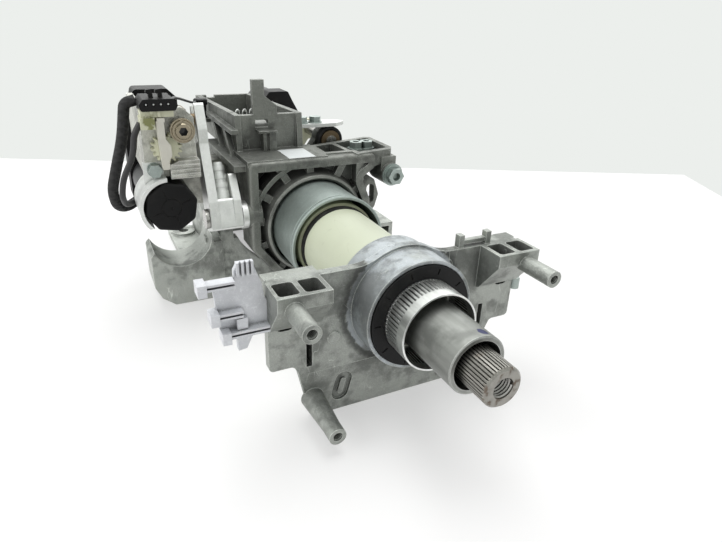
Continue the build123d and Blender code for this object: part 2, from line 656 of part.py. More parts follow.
# Main housing: ribbed front flange, barrel, right arm, trough on top, pivot and drive bosses
ARM_Y = FLANGE_Y
ARM_DEPTH = 34.0
ARM_SWEEP = 15.0
ARM_BOLT_XS = (45.5, 54.3)
ARM_BOTTOM_Z = 28.0
ARM_FLOOR_Z = 36.0
ARM_PAD_Z = 43.0          # seat of the two bolts
ARM_PAD_X = 40.0
ARM_RIB_X = 28.8
SIDE_BOLT_X = 61.0
SIDE_BOLT_Z = 30.0
SIDE_BOLT_Y = FLANGE_Y - 1.0
BRIDGE_Y = 276.0
BRIDGE_DEPTH = 18.0
BRIDGE_Z = 6.0
BRIDGE_TOP_Z = 34.0
HOUSING_PAD_X = -46.0
REACH_LUG_Y = 262.0
with BuildPart() as main_housing:
    # outer frame of the flange, open inside
    frame_points = [
        (-FLANGE_HALF_WIDTH, FLANGE_TOP_Z), (-FLANGE_HALF_WIDTH, -14), (-34, -30),
        (-20, FLANGE_BOTTOM_Z), (20, FLANGE_BOTTOM_Z), (34, -30), (43, -12), (43, 14), (36, 30),
        (FLANGE_HALF_WIDTH, 37), (FLANGE_HALF_WIDTH, FLANGE_TOP_Z),
    ]
    with BuildSketch(across(FLANGE_Y)) as frame_face:
        with BuildLine():
            Polyline(*frame_points, close=True)
        make_face()
        fillet(frame_face.vertices(), 4)
        offset(amount=-FRAME_WALL, mode=Mode.SUBTRACT)
    extrude(amount=-FLANGE_DEPTH)
    fillet(main_housing.faces().sort_by(Axis.Y)[0].outer_wire().edges(), FRAME_ROUND)
    # web behind the frame closes the gap to the barrel
    with BuildSketch(across(FLANGE_Y + FLANGE_DEPTH - 5)) as web_face:
        with BuildLine():
            Polyline(*frame_points, close=True)
        make_face()
        fillet(web_face.vertices(), 4)
    extrude(amount=-5)
    # ribs from the ring to the frame, cut to the frame's outline
    with BuildSketch(across(FLANGE_Y + 3)) as rib_face:
        for angle in RIB_ANGLES:
            with Locations(Location((0, 0, 0), (0, 0, angle))):
                with Locations((RING_R + 9, 0)):
                    Rectangle(26, RIB_WIDTH)
        with BuildLine():
            Polyline(*frame_points, close=True)
        make_face(mode=Mode.INTERSECT)
    extrude(amount=-(FLANGE_DEPTH - 3))
    # second rib ring in the upper left, an arc round the front ring
    with BuildSketch(across(FLANGE_Y + 2)):
        Circle(46.5)
        Circle(43.5, mode=Mode.SUBTRACT)
        with Locations((-60, 60)):
            Rectangle(104, 104, mode=Mode.INTERSECT)
    extrude(amount=-(FLANGE_DEPTH - 4))
    # ring and barrel
    add(turned([
        (HOUSING_Y + 1.5, RING_BORE_R), (HOUSING_Y, RING_BORE_R + 1.5),
        (HOUSING_Y + 1, RING_R - 2), (HOUSING_Y + 9, RING_R),
        (HOUSING_Y + 14, BARREL_R), (BARREL_END_Y, BARREL_R), (BARREL_END_Y, RING_BORE_R),
    ]))
    # right arm: a swept box that is open on top, with one diagonal rib
    arm_back = ARM_Y + ARM_DEPTH
    arm_points = [
        (31, FLANGE_Y), (ARM_END_X - 3, ARM_Y + ARM_SWEEP - 8), (ARM_END_X, ARM_Y + ARM_SWEEP - 3),
        (ARM_END_X, arm_back + ARM_SWEEP - 2), (ARM_END_X - 5, arm_back + ARM_SWEEP), (8, arm_back),
        (8, FLANGE_Y + 8), (31, FLANGE_Y + 8),
    ]
    with BuildSketch(Plane.XY.offset(ARM_BOTTOM_Z)):
        with BuildLine():
            Polyline(*arm_points, close=True)
        make_face()
    extrude(amount=DECK_TOP_Z - ARM_BOTTOM_Z)
    # its two pockets are open on top, with a cross rib, and a pad for two bolts at the free end
    for floor_z, pad_x in ((ARM_FLOOR_Z, ARM_PAD_X), (ARM_PAD_Z, ARM_END_X)):
        with BuildSketch(Plane.XY.offset(floor_z)):
            with BuildLine():
                Polyline(*arm_points, close=True)
            make_face()
            offset(amount=-ARM_WALL)
            with Locations(Location((ARM_RIB_X, arm_back - 10, 0), (0, 0, 4))):
                Rectangle(3.2, 60, mode=Mode.SUBTRACT)
            with Locations((pad_x + 20, arm_back)):
                Rectangle(40, 80, mode=Mode.SUBTRACT)
        extrude(amount=DECK_TOP_Z - floor_z + 1, mode=Mode.SUBTRACT)
    # the arm's lower face rises to its free end
    add(slab_across([(20, 20), (ARM_END_X + 8, 20), (ARM_END_X + 8, 40), (SIDE_BOLT_X, 39),
                     (FLANGE_HALF_WIDTH - 4, 27)], ARM_Y + 22, ARM_Y + 60), mode=Mode.SUBTRACT)
    add(slab_across([(44, 14), (37.2, 30.4), (46.8, 36.6), (SIDE_BOLT_X, 39.5), (ARM_END_X + 8, 40.5),
                     (ARM_END_X + 8, 14)], FLANGE_Y - 1, ARM_Y + 22.5), mode=Mode.SUBTRACT)
    # deck under the trough
    add(block(-FLANGE_HALF_WIDTH, 10, FLANGE_Y + 2, TROUGH_Y + 6, FLANGE_TOP_Z - 4, DECK_TOP_Z))
    add(block(TROUGH_LEFT_X, TROUGH_RIGHT_X, TROUGH_Y, TROUGH_END_Y, DECK_TOP_Z - 5, DECK_TOP_Z))
    add(block(-24, -2, FLANGE_Y + FLANGE_DEPTH - 2, TROUGH_END_Y, 34, DECK_TOP_Z - 4))
    # trough walls: two sides that fall to the rear, and a back with a notch
    for wall_x in (TROUGH_LEFT_X, TROUGH_RIGHT_X - TROUGH_WALL):
        add(slab_beside([
            (TROUGH_Y, DECK_TOP_Z - 1), (TROUGH_TOP_Y, TROUGH_TOP_Z),
            (TROUGH_END_Y, TROUGH_BACK_Z), (TROUGH_END_Y, DECK_TOP_Z - 1),
        ], wall_x, wall_x + TROUGH_WALL))
    with BuildSketch(across(TROUGH_END_Y - TROUGH_WALL)):
        with Locations(((TROUGH_LEFT_X + TROUGH_RIGHT_X) / 2, (DECK_TOP_Z + TROUGH_BACK_Z) / 2)):
            Rectangle(TROUGH_RIGHT_X - TROUGH_LEFT_X, TROUGH_BACK_Z - DECK_TOP_Z)
        with Locations((TROUGH_LEFT_X + 12, TROUGH_BACK_Z)):
            Rectangle(7, 4, mode=Mode.SUBTRACT)
    extrude(amount=-TROUGH_WALL)
    # front wall set back between the side walls, with an upright tab, its gusset and a window
    with BuildSketch(across(FRONT_WALL_Y)):
        with BuildLine():
            Polyline((TROUGH_LEFT_X + 1, DECK_TOP_Z - 1), (TROUGH_LEFT_X + 1, TROUGH_TOP_Z - 0.5),
                     (TAB_X - TAB_HALF, TROUGH_TOP_Z - 0.5), (TAB_X - TAB_HALF, TAB_TOP_Z),
                     (TAB_X + TAB_HALF, TAB_TOP_Z), (TAB_X + TAB_HALF, TROUGH_TOP_Z + 12),
                     (TAB_X + 13, TROUGH_TOP_Z + 5), (TAB_X + 13, TROUGH_TOP_Z - 0.5),
                     (TROUGH_RIGHT_X - 1, TROUGH_TOP_Z - 0.5), (TROUGH_RIGHT_X - 1, DECK_TOP_Z - 1),
                     close=True)
        make_face()
        with Locations((TAB_X + 1.5, TROUGH_TOP_Z - 6.5)):
            Rectangle(9, 5, mode=Mode.SUBTRACT)
    extrude(amount=-FRONT_WALL)
    # terminal seat behind the front wall
    add(block(TROUGH_LEFT_X + 2, TAB_X + 8, FRONT_WALL_Y + 1, TERMINAL_END_Y, DECK_TOP_Z - 1, TERMINAL_Z))
    # left side: ledge over the lever and a truss of two braces
    add(block(-54, -40, 213, 300, 40.5, 44.5))
    for brace_y in (236, 268):
        add(slab_beside([(brace_y, 40), (brace_y + 22, 62), (brace_y + 28, 62), (brace_y + 6, 40)],
                        TROUGH_LEFT_X - 4, TROUGH_LEFT_X + 1))
    add(block(TROUGH_LEFT_X - 4, TROUGH_LEFT_X + 1, 236, 314, 60, 63))
    add(block(TROUGH_LEFT_X, -30, FLANGE_Y + FLANGE_DEPTH - 2, 300, 26, DECK_TOP_Z - 2))
    add(block(-56, TROUGH_LEFT_X + 1, 316, 328, 54, 57))
    # boss for the front facing bolt at the arm's end
    add(rod(SIDE_BOLT_Y + 3, SIDE_BOLT_Y + 24, 8.2, x=SIDE_BOLT_X, z=SIDE_BOLT_Z))
    add(block(SIDE_BOLT_X - 8, ARM_END_X, SIDE_BOLT_Y + 5, SIDE_BOLT_Y + 24, SIDE_BOLT_Z, ARM_PAD_Z))
    # round lug with a slotted eye under the arm
    add(slab_across([(30, 30), (44, 30), (53, 24), (57, 12), (54, 2), (46, -4), (34, -4)],
                    FLANGE_Y + 14, FLANGE_Y + 22, radius=3))
    with BuildSketch(across(FLANGE_Y + 10)):
        with Locations((50, 13)):
            SlotOverall(15, 6.5, rotation=90)
    extrude(amount=-16, mode=Mode.SUBTRACT)
    # pad for the tilt drive, pivot bosses, lever boss, lug for the reach spindle
    add(slab_across([(HOUSING_PAD_X, BRIDGE_Z - 4), (HOUSING_PAD_X, BRIDGE_TOP_Z + 2), (-18, 36),
                     (-27, 27), (-35, 16), (-38, BRIDGE_Z - 4)], BRIDGE_Y - 3, BRIDGE_Y + BRIDGE_DEPTH + 3))
    for side in (-1, 1):
        boss_x = sorted((side * (BARREL_R - 6), side * (CHEEK_X - LOOSE)))
        add(cross_rod(boss_x[0], boss_x[1], 11.0, PIVOT_Y, 0))
    add(cross_rod(-FLANGE_HALF_WIDTH - 1.5, -FLANGE_HALF_WIDTH + 8, 9.0, LEVER_PIN_Y, LEVER_PIN_Z))
    lug_plane = Plane(origin=(0, REACH_LUG_Y, 0), x_dir=REACH_PLANE.z_dir, z_dir=(0, 1, 0))
    with BuildSketch(lug_plane) as lug_face:
        with Locations((REACH_RADIUS, 0)):
            Circle(10.5)
        with Locations(((BARREL_R + REACH_RADIUS) / 2 - 4, 0)):
            Rectangle(REACH_RADIUS - BARREL_R + 8, 18)
        with Locations((REACH_RADIUS, 0)):
            Circle(7.6, mode=Mode.SUBTRACT)
    extrude(amount=8)
    # saddle that carries the reach gearbox
    add(block(12, 36, REACH_GEARBOX_Y, BARREL_END_Y, 24, 37))
    # bores
    add(rod(HOUSING_Y - 1, BARREL_END_Y + 1, RING_BORE_R), mode=Mode.SUBTRACT)
    for seat_y in (222, 330):
        add(rod(seat_y, seat_y + 14, RING_BORE_R + 0.5, bore=SLEEVE_R))
    add(reach_slot(20, BARREL_R + 12), mode=Mode.SUBTRACT)
    for side in (-1, 1):
        pin_x = sorted((side * (RING_BORE_R - 2), side * (CHEEK_X + 1)))
        add(cross_rod(pin_x[0], pin_x[1], PIVOT_R, PIVOT_Y, 0), mode=Mode.SUBTRACT)
    add(cross_rod(-FLANGE_HALF_WIDTH - 2, -FLANGE_HALF_WIDTH + 6, LEVER_PIN_R, LEVER_PIN_Y, LEVER_PIN_Z),
        mode=Mode.SUBTRACT)
    for bolt_x in ARM_BOLT_XS:
        add(upright_rod(bolt_x, ARM_Y + 32, 26, DECK_TOP_Z + 1, 3.0), mode=Mode.SUBTRACT)
    add(rod(SIDE_BOLT_Y, SIDE_BOLT_Y + 22, 3.5, x=SIDE_BOLT_X, z=SIDE_BOLT_Z), mode=Mode.SUBTRACT)
    add(rod(REACH_LUG_Y - 1, REACH_LUG_Y + 9, 7.6, x=REACH_X, z=REACH_Z), mode=Mode.SUBTRACT)
    add(rear_screws(BARREL_END_Y - REAR_SCREW_DEPTH, 0), mode=Mode.SUBTRACT)
main_housing.part.label = "main_housing"
export_step(main_housing.part, "parts/main_housing.step")

# Bolts with a flanged hexagon head
def flange_bolt_upright(x, y, seat_z, shank_r, length):
    """A bolt that points down, with its head's flange on seat_z."""
    with BuildPart(mode=Mode.PRIVATE) as bolt:
        add(upright_rod(x, y, seat_z - length, seat_z, shank_r))
        add(upright_rod(x, y, seat_z, seat_z + 1.4, shank_r * 2.1))
        with BuildSketch(Plane.XY.offset(seat_z + 1.4)):
            with Locations((x, y)):
                RegularPolygon(shank_r * 1.7, 6)
        extrude(amount=shank_r * 1.5)
        add(upright_rod(x, y, seat_z + 2.6, seat_z + 9, shank_r * 0.8), mode=Mode.SUBTRACT)
    return bolt.part


with BuildPart() as arm_bolts:
    for bolt_x in ARM_BOLT_XS:
        add(flange_bolt_upright(bolt_x, ARM_Y + 32, ARM_PAD_Z, 3.0, 12))
arm_bolts.part.label = "arm_bolts"
export_step(arm_bolts.part, "parts/arm_bolts.step")

with BuildPart() as side_bolt:
    add(rod(SIDE_BOLT_Y + 1, SIDE_BOLT_Y + 21, 3.5, x=SIDE_BOLT_X, z=SIDE_BOLT_Z))
    add(rod(SIDE_BOLT_Y + 0.2, SIDE_BOLT_Y + 1.6, 7.4, x=SIDE_BOLT_X, z=SIDE_BOLT_Z))
    add(hexagon_rod(SIDE_BOLT_Y - 4.5, SIDE_BOLT_Y + 1, 11.0, x=SIDE_BOLT_X, z=SIDE_BOLT_Z))
    add(rod(SIDE_BOLT_Y - 5, SIDE_BOLT_Y - 1.5, 2.9, x=SIDE_BOLT_X, z=SIDE_BOLT_Z), mode=Mode.SUBTRACT)
side_bolt.part.label = "side_bolt"
export_step(side_bolt.part, "parts/side_bolt.step")

with BuildPart() as side_bolt_washer:
    add(rod(SIDE_BOLT_Y + 1.6, SIDE_BOLT_Y + 3, 8.2, x=SIDE_BOLT_X, z=SIDE_BOLT_Z, bore=3.5))
side_bolt_washer.part.label = "side_bolt_washer"
export_step(side_bolt_washer.part, "parts/side_bolt_washer.step")

# Mounting bracket: cross wall with cradle, hook foot, two cheeks with pivot eyes, base flanges
with BuildPart() as mounting_bracket:
    with BuildSketch(across(WALL_Y)) as wall_face:
        with BuildLine():
            Polyline((-70, FLOOR_Z), (-70, -17), (-59, -17), (-59, 0), (-50, 0), (-49, -20), (49, -20),
                     (51, -12), (60, -12), (60, FLOOR_Z), close=True)
        make_face()
        Circle(CRADLE_R, mode=Mode.SUBTRACT)
    extrude(amount=-WALL_THICKNESS)
    # hook foot: the wall's left end, thicker, with an open round cradle
    with BuildSketch(across(FOOT_Y)) as foot_face:
        with BuildLine():
            Polyline((FOOT_LEFT_X, -22), (FOOT_LEFT_X, -46), (FOOT_LEFT_X + 4, -55),
                     (FOOT_LEFT_X + 13, FLOOR_Z), (-60, FLOOR_Z), (-60, -17), (-66, -17), (-72, 20),
                     (FOOT_LEFT_X + 5, 20), (FOOT_LEFT_X + 5, -17), close=True)
        make_face()
        fillet(foot_face.vertices().filter_by(lambda v: v.Y < -20 and v.X < -100), 3)
        with Locations((HOOK_X, HOOK_Z)):
            Circle(HOOK_R, mode=Mode.SUBTRACT)
        with Locations((HOOK_X - 4, HOOK_Z + 20)):
            Rectangle(2 * HOOK_R + 8, 41, mode=Mode.SUBTRACT)
    extrude(amount=-(WALL_Y + WALL_THICKNESS + 12 - FOOT_Y))
    # core pocket in the foot's rear
    add(block(FOOT_LEFT_X + 7, -72, WALL_Y + 2, WALL_Y + 30, FLOOR_Z + 6, -40), mode=Mode.SUBTRACT)
    for side in (-1, 1):
        cheek_x = sorted((side * CHEEK_X, side * (CHEEK_X + CHEEK_THICKNESS)))
        base_x = sorted((side * CHEEK_X, side * BASE_OUTER_X))
        add(block(base_x[0], base_x[1], WALL_Y, BASE_END_Y, FLOOR_Z, FLOOR_Z + BASE_THICKNESS))
        with BuildSketch(beside(cheek_x[0])) as cheek_face:
            with BuildLine():
                Polyline((WALL_Y, FLOOR_Z), (WALL_Y, -12), (WALL_Y + 74, -12),
                         (PIVOT_Y - 13, 0), (PIVOT_Y + 13, 0), (BASE_END_Y, FLOOR_Z), close=True)
            make_face()
            with Locations((PIVOT_Y, 0)):
                Circle(13)
            with BuildLine():
                Polyline((WALL_Y + 18, -50), (WALL_Y + 18, -24), (WALL_Y + 52, -24), (PIVOT_Y - 26, -50),
                         close=True)
            make_face(mode=Mode.SUBTRACT)
            with Locations((PIVOT_Y, 0)):
                Circle(PIVOT_R + 2, mode=Mode.SUBTRACT)
        extrude(amount=CHEEK_THICKNESS)
        for hole_y in MOUNT_HOLE_YS:
            add(upright_rod(side * MOUNT_HOLE_X, hole_y, FLOOR_Z, FLOOR_Z + BASE_THICKNESS + 2, 10))
            add(upright_rod(side * MOUNT_HOLE_X, hole_y, FLOOR_Z - 1, FLOOR_Z + 20, MOUNT_HOLE_R),
                mode=Mode.SUBTRACT)
    # rear tie between the two base flanges
    add(block(-CHEEK_X - 1, CHEEK_X + 1, BASE_END_Y - 16, BASE_END_Y, FLOOR_Z, FLOOR_Z + BASE_THICKNESS))
    # lug that holds the link pin in front of the wall
    add(slab_beside([(WALL_Y + 1, LEVER_PIN_Z - 24), (LINK_Y - 7, LEVER_PIN_Z - 10),
                     (LINK_Y - 7, LEVER_PIN_Z + 1), (LINK_Y - 2, LEVER_PIN_Z + 7),
                     (LINK_Y + 3, LEVER_PIN_Z + 7), (WALL_Y + 3, -1)], -58, -52))
    add(cross_rod(-59, -51, LINK_PIN_R, LINK_Y, LEVER_PIN_Z), mode=Mode.SUBTRACT)
    # right horn: a short hollow box in front of the wall
    add(block(HORN_X, HORN_END_X, HORN_Y, WALL_Y + 3, HORN_TOP_Z - 18, HORN_TOP_Z))
    add(block(HORN_X + HORN_WALL, HORN_END_X - HORN_WALL, HORN_Y - 1, WALL_Y - 6,
              HORN_TOP_Z - 18 + HORN_WALL, HORN_TOP_Z - HORN_WALL), mode=Mode.SUBTRACT)
    add(block(HORN_X, HORN_END_X, WALL_Y - 2, WALL_Y + WALL_THICKNESS, FLOOR_Z, HORN_TOP_Z))
mounting_bracket.part.label = "mounting_bracket"
export_step(mounting_bracket.part, "parts/mounting_bracket.step")

# Plain bushes pressed in the pivot eyes, and the two shouldered pivot bolts
with BuildPart() as pivot_bushes:
    for side in (-1, 1):
        bush_x = sorted((side * CHEEK_X, side * (CHEEK_X + CHEEK_THICKNESS)))
        add(cross_rod(bush_x[0], bush_x[1], PIVOT_R + 2, PIVOT_Y, 0, bore=PIVOT_R))
pivot_bushes.part.label = "pivot_bushes"
export_step(pivot_bushes.part, "parts/pivot_bushes.step")

with BuildPart() as pivot_bolts:
    for side in (-1, 1):
        shank_x = sorted((side * (BARREL_R - 4), side * (CHEEK_X + CHEEK_THICKNESS)))
        head_x = sorted((side * (CHEEK_X + CHEEK_THICKNESS), side * (CHEEK_X + CHEEK_THICKNESS + 6)))
        add(cross_rod(shank_x[0], shank_x[1], PIVOT_R - RUNNING, PIVOT_Y, 0))
        with BuildSketch(beside(head_x[0])):
            with Locations((PIVOT_Y, 0)):
                RegularPolygon(9.2, 6)
        extrude(amount=head_x[1] - head_x[0])
pivot_bolts.part.label = "pivot_bolts"
export_step(pivot_bolts.part, "parts/pivot_bolts.step")

with BuildPart() as link_pin:
    add(cross_rod(LEVER_OUTER_X + 5, -52, LINK_PIN_R, LINK_Y, LEVER_PIN_Z))
link_pin.part.label = "link_pin"
export_step(link_pin.part, "parts/link_pin.step")

# Tilt lever: forged fork with a long outer arm, a short inner arm and a slotted short arm
ARM_LEAN = math.radians(19)
SLOT_REACH = SPINDLE_Z - LEVER_PIN_Z


def lever_point(along, side):
    """A point on the lever's arm, along it from the pin and to the rear of its middle line."""
    y = LEVER_PIN_Y + along * math.sin(ARM_LEAN) + side * math.cos(ARM_LEAN)
    z = LEVER_PIN_Z + along * math.cos(ARM_LEAN) - side * math.sin(ARM_LEAN)
    return (y, z)


NUT_REST_Y = LEVER_PIN_Y + SLOT_REACH * math.tan(ARM_LEAN)
SLOT_ALONG = SLOT_REACH / math.cos(ARM_LEAN)
TRUNNION_R = 3.5
SLOT_SHIFT = 0.6          # the slot swings on an arc while the nut runs straight
with BuildPart() as tilt_lever:
    outer_end_x = LEVER_OUTER_X + LEVER_PLATE
    inner_x = LEVER_INNER_X - LEVER_PLATE + 1
    add(slab_beside([lever_point(-LEVER_FOOT, -7), lever_point(-LEVER_FOOT, 9), lever_point(10, 11),
                     lever_point(48, 7), lever_point(SLOT_ALONG - 8, 9), lever_point(SLOT_ALONG + 9, 8),
                     lever_point(SLOT_ALONG + 9, -8), lever_point(SLOT_ALONG - 8, -9),
                     lever_point(48, -6), lever_point(10, -9)], LEVER_OUTER_X, outer_end_x, radius=2))
    add(slab_beside([lever_point(-LEVER_FOOT, -7), lever_point(-LEVER_FOOT, 9), lever_point(10, 11),
                     lever_point(26, 6), lever_point(28, 4), lever_point(28, -4), lever_point(10, -9)],
                    inner_x, LEVER_INNER_X, radius=2))
    add(slab_beside([lever_point(-LEVER_FOOT, -7), lever_point(-LEVER_FOOT, 9), lever_point(12, 9),
                     lever_point(12, -8)], LEVER_OUTER_X, LEVER_INNER_X, radius=2))
    # short arm to the bracket's link pin
    link_arm_x = LEVER_OUTER_X + 6
    add(slab_beside([(LEVER_PIN_Y, LEVER_PIN_Z - 8), (LINK_Y + 10, LEVER_PIN_Z - 8),
                     (LINK_Y + 10, LEVER_PIN_Z + 8), (LEVER_PIN_Y, LEVER_PIN_Z + 8)],
                    link_arm_x, link_arm_x + 7, radius=3))
    with BuildSketch(beside(link_arm_x - 1)):
        with Locations((LINK_Y, LEVER_PIN_Z)):
            SlotOverall(2 * LINK_PIN_R + 2 * LINK_SLOT_GAP + 3, 2 * LINK_PIN_R + 2 * LINK_SLOT_GAP)
    extrude(amount=9, mode=Mode.SUBTRACT)
    with BuildSketch(beside(LEVER_OUTER_X - 1)):
        with Locations(Location((*lever_point(SLOT_ALONG, -SLOT_SHIFT), 0),
                                (0, 0, 90 - math.degrees(ARM_LEAN)))):
            SlotOverall(2 * TRUNNION_R + 24, 2 * (TRUNNION_R + SLOT_SHIFT + LOOSE))
    extrude(amount=LEVER_PLATE + 2, mode=Mode.SUBTRACT)
    add(cross_rod(LEVER_OUTER_X - 1, LEVER_INNER_X + 1, LEVER_PIN_R + RUNNING, LEVER_PIN_Y, LEVER_PIN_Z),
        mode=Mode.SUBTRACT)
tilt_lever.part.label = "tilt_lever"
export_step(tilt_lever.part, "parts/tilt_lever.step")

# Stepped damper sleeve between the lever's arms
DAMPER_X = (outer_end_x + inner_x) / 2
with BuildPart() as lever_damper:
    start = lever_point(12.0, 0)
    with BuildSketch(Plane(origin=(DAMPER_X, *start), x_dir=(1, 0, 0),
                           z_dir=(0, math.sin(ARM_LEAN), math.cos(ARM_LEAN)))) as damper_face:
        Circle((inner_x - outer_end_x) / 2)
    extrude(amount=5)
    extrude(damper_face.sketch, amount=24, taper=5)
    for collar_along, collar_r in ((19.5, 4.9), (25.0, 4.4), (30.5, 3.9)):
        with BuildSketch(Plane(origin=(DAMPER_X, *lever_point(collar_along, 0)), x_dir=(1, 0, 0),
                               z_dir=(0, math.sin(ARM_LEAN), math.cos(ARM_LEAN)))):
            Circle(collar_r)
        extrude(amount=3.2)
lever_damper.part.label = "lever_damper"
export_step(lever_damper.part, "parts/lever_damper.step")

with BuildPart() as lever_pin:
    add(cross_rod(LEVER_OUTER_X - 1.6, -FLANGE_HALF_WIDTH + 6, LEVER_PIN_R, LEVER_PIN_Y, LEVER_PIN_Z))
    add(cross_rod(LEVER_OUTER_X - 2.6, LEVER_OUTER_X - LOOSE, LEVER_PIN_R + 2.5, LEVER_PIN_Y, LEVER_PIN_Z))
lever_pin.part.label = "lever_pin"
export_step(lever_pin.part, "parts/lever_pin.step")

with BuildPart() as lever_washer:
    add(cross_rod(LEVER_INNER_X + LOOSE, -FLANGE_HALF_WIDTH - 1.5, 9.5, LEVER_PIN_Y, LEVER_PIN_Z,
                  bore=LEVER_PIN_R))
lever_washer.part.label = "lever_washer"
export_step(lever_washer.part, "parts/lever_washer.step")

# Tilt spindle with its drive end, and the stepped hub with a key socket at the front
with BuildPart() as tilt_spindle:
    add(rod(HUB_Y + 5, GEARBOX_Y + 12, SPINDLE_R, x=SPINDLE_X, z=SPINDLE_Z))
    extrude(spur_outline(PINION_TEETH, SPINDLE_R - 1, x=SPINDLE_X, z=SPINDLE_Z), amount=-GEAR_WIDTH)
tilt_spindle.part.label = "tilt_spindle"
export_step(tilt_spindle.part, "parts/tilt_spindle.step")

with BuildPart() as spindle_hub:
    add(turned([(HUB_Y, 0), (HUB_Y, 4.2), (HUB_Y + 0.8, 4.7), (HUB_Y + 1.6, 4.7), (HUB_Y + 1.6, 6.0),
                (HUB_Y + 3, 6.4), (HUB_Y + 3, HUB_R), (HUB_Y + 5, HUB_R), (HUB_Y + 5, 0)],
               x=SPINDLE_X, z=SPINDLE_Z))
    add(hexagon_rod(HUB_Y - 1, HUB_Y + 4.2, 4.6, x=SPINDLE_X, z=SPINDLE_Z), mode=Mode.SUBTRACT)
spindle_hub.part.label = "spindle_hub"
export_step(spindle_hub.part, "parts/spindle_hub.step")

# Spindle nut with the trunnion that enters the lever's slot
with BuildPart() as tilt_nut:
    add(block(SPINDLE_X - NUT_HALF, SPINDLE_X + NUT_HALF, NUT_REST_Y - NUT_LENGTH / 2,
              NUT_REST_Y + NUT_LENGTH / 2, SPINDLE_Z - NUT_HALF, SPINDLE_Z + NUT_HALF))
    fillet(tilt_nut.edges().filter_by(Axis.Y), 2)
    add(cross_rod(SPINDLE_X + NUT_HALF - 1, LEVER_OUTER_X + LEVER_PLATE, TRUNNION_R, NUT_REST_Y, SPINDLE_Z))
    add(rod(NUT_REST_Y - NUT_LENGTH, NUT_REST_Y + NUT_LENGTH, SPINDLE_R + RUNNING,
            x=SPINDLE_X, z=SPINDLE_Z), mode=Mode.SUBTRACT)
tilt_nut.part.label = "tilt_nut"
export_step(tilt_nut.part, "parts/tilt_nut.step")

# Cream wheel of the position sensor, in mesh with the spindle's pinion
GEAR_DISTANCE = GEAR_MODULE * (PINION_TEETH + WHEEL_TEETH) / 2
WHEEL_DIRECTION = math.radians(WHEEL_ANGLE)
WHEEL_X = SPINDLE_X + GEAR_DISTANCE * math.cos(WHEEL_DIRECTION)
WHEEL_Z = SPINDLE_Z + GEAR_DISTANCE * math.sin(WHEEL_DIRECTION)
PINION_PHASE = WHEEL_ANGLE / (360 / PINION_TEETH) % 1.0
WHEEL_TURN = (WHEEL_ANGLE - 180) + (0.5 + PINION_PHASE) * 360 / WHEEL_TEETH
with BuildPart() as sensor_wheel:
    extrude(spur_outline(WHEEL_TEETH, 2.5, x=WHEEL_X, z=WHEEL_Z, turn=WHEEL_TURN), amount=-GEAR_WIDTH)
sensor_wheel.part.label = "sensor_wheel"
export_step(sensor_wheel.part, "parts/sensor_wheel.step")

# Drive carrier: casting with the spindle's front bearing wall, a side wall and the bridge
CARRIER_Y = GEAR_Y + GEAR_WIDTH + 0.6
CARRIER_FRONT = 4.0
CARRIER_TOP_Z = 84.0
CONNECTOR_TOP_Z = 90.6
CARRIER_LEFT_X = -108.5
CARRIER_RIGHT_X = -77.5
CARRIER_SCREW_X = -103.5
CARRIER_SCREW_Z = 48.5
CARRIER_SCREW_R = 3.0
STRAP_EYE = 1.6
WHEEL_TIP_R = GEAR_MODULE * (WHEEL_TEETH / 2 + TOOTH_TOP)
with BuildPart() as drive_carrier:
    add(slab_across([(CARRIER_LEFT_X, 44), (CARRIER_RIGHT_X, 44), (CARRIER_RIGHT_X, 78),
                     (-84, CARRIER_TOP_Z), (CARRIER_LEFT_X, CARRIER_TOP_Z)], CARRIER_Y, CARRIER_Y + CARRIER_FRONT, radius=2))
    add(block(CARRIER_LEFT_X, CARRIER_LEFT_X + 4, CARRIER_Y, GEARBOX_Y, 44, CARRIER_TOP_Z))
    # ridged block above the motor
    add(block(-95, CARRIER_RIGHT_X, 202, CARRIER_Y + 30, 43.2, 54))
    for ridge_z in (44.7, 47.5, 50.3):
        add(block(-95, CARRIER_RIGHT_X, 201.2, 204, ridge_z, ridge_z + 1.3))
    add(block(CARRIER_LEFT_X, CARRIER_RIGHT_X, CARRIER_Y, GEARBOX_Y, 43.2, 48))
    # tie from the shelf down to the bridge, behind the lever
    add(block(-80, -66, GEARBOX_Y - 11, BRIDGE_Y + 1, BRIDGE_Z, 50))
    # bridge behind the lever to the housing's pad
    add(block(-92, HOUSING_PAD_X, BRIDGE_Y, BRIDGE_Y + BRIDGE_DEPTH, BRIDGE_Z, BRIDGE_TOP_Z))
    add(rod(CARRIER_Y - 1, CARRIER_Y + 6, SPINDLE_R + RUNNING, x=SPINDLE_X, z=SPINDLE_Z),
        mode=Mode.SUBTRACT)
    add(rod(MOTOR_Y - 20, GEARBOX_Y + GEARBOX_DEPTH + 1, CAP_R + 0.8, x=MOTOR_X, z=MOTOR_Z),
        mode=Mode.SUBTRACT)
    # round hollow for the sensor wheel in the ridged block, and the strap screw's hole
    add(rod(GEAR_Y - 4, CARRIER_Y, WHEEL_TIP_R + 0.6, x=WHEEL_X, z=WHEEL_Z), mode=Mode.SUBTRACT)
    add(rod(CARRIER_Y - 1, CARRIER_Y + 12, CARRIER_SCREW_R, x=CARRIER_SCREW_X, z=CARRIER_SCREW_Z),
        mode=Mode.SUBTRACT)
    add(block(-113, -76, GEARBOX_Y, GEARBOX_Y + GEARBOX_DEPTH, 5, 86), mode=Mode.SUBTRACT)
drive_carrier.part.label = "drive_carrier"
export_step(drive_carrier.part, "parts/drive_carrier.step")

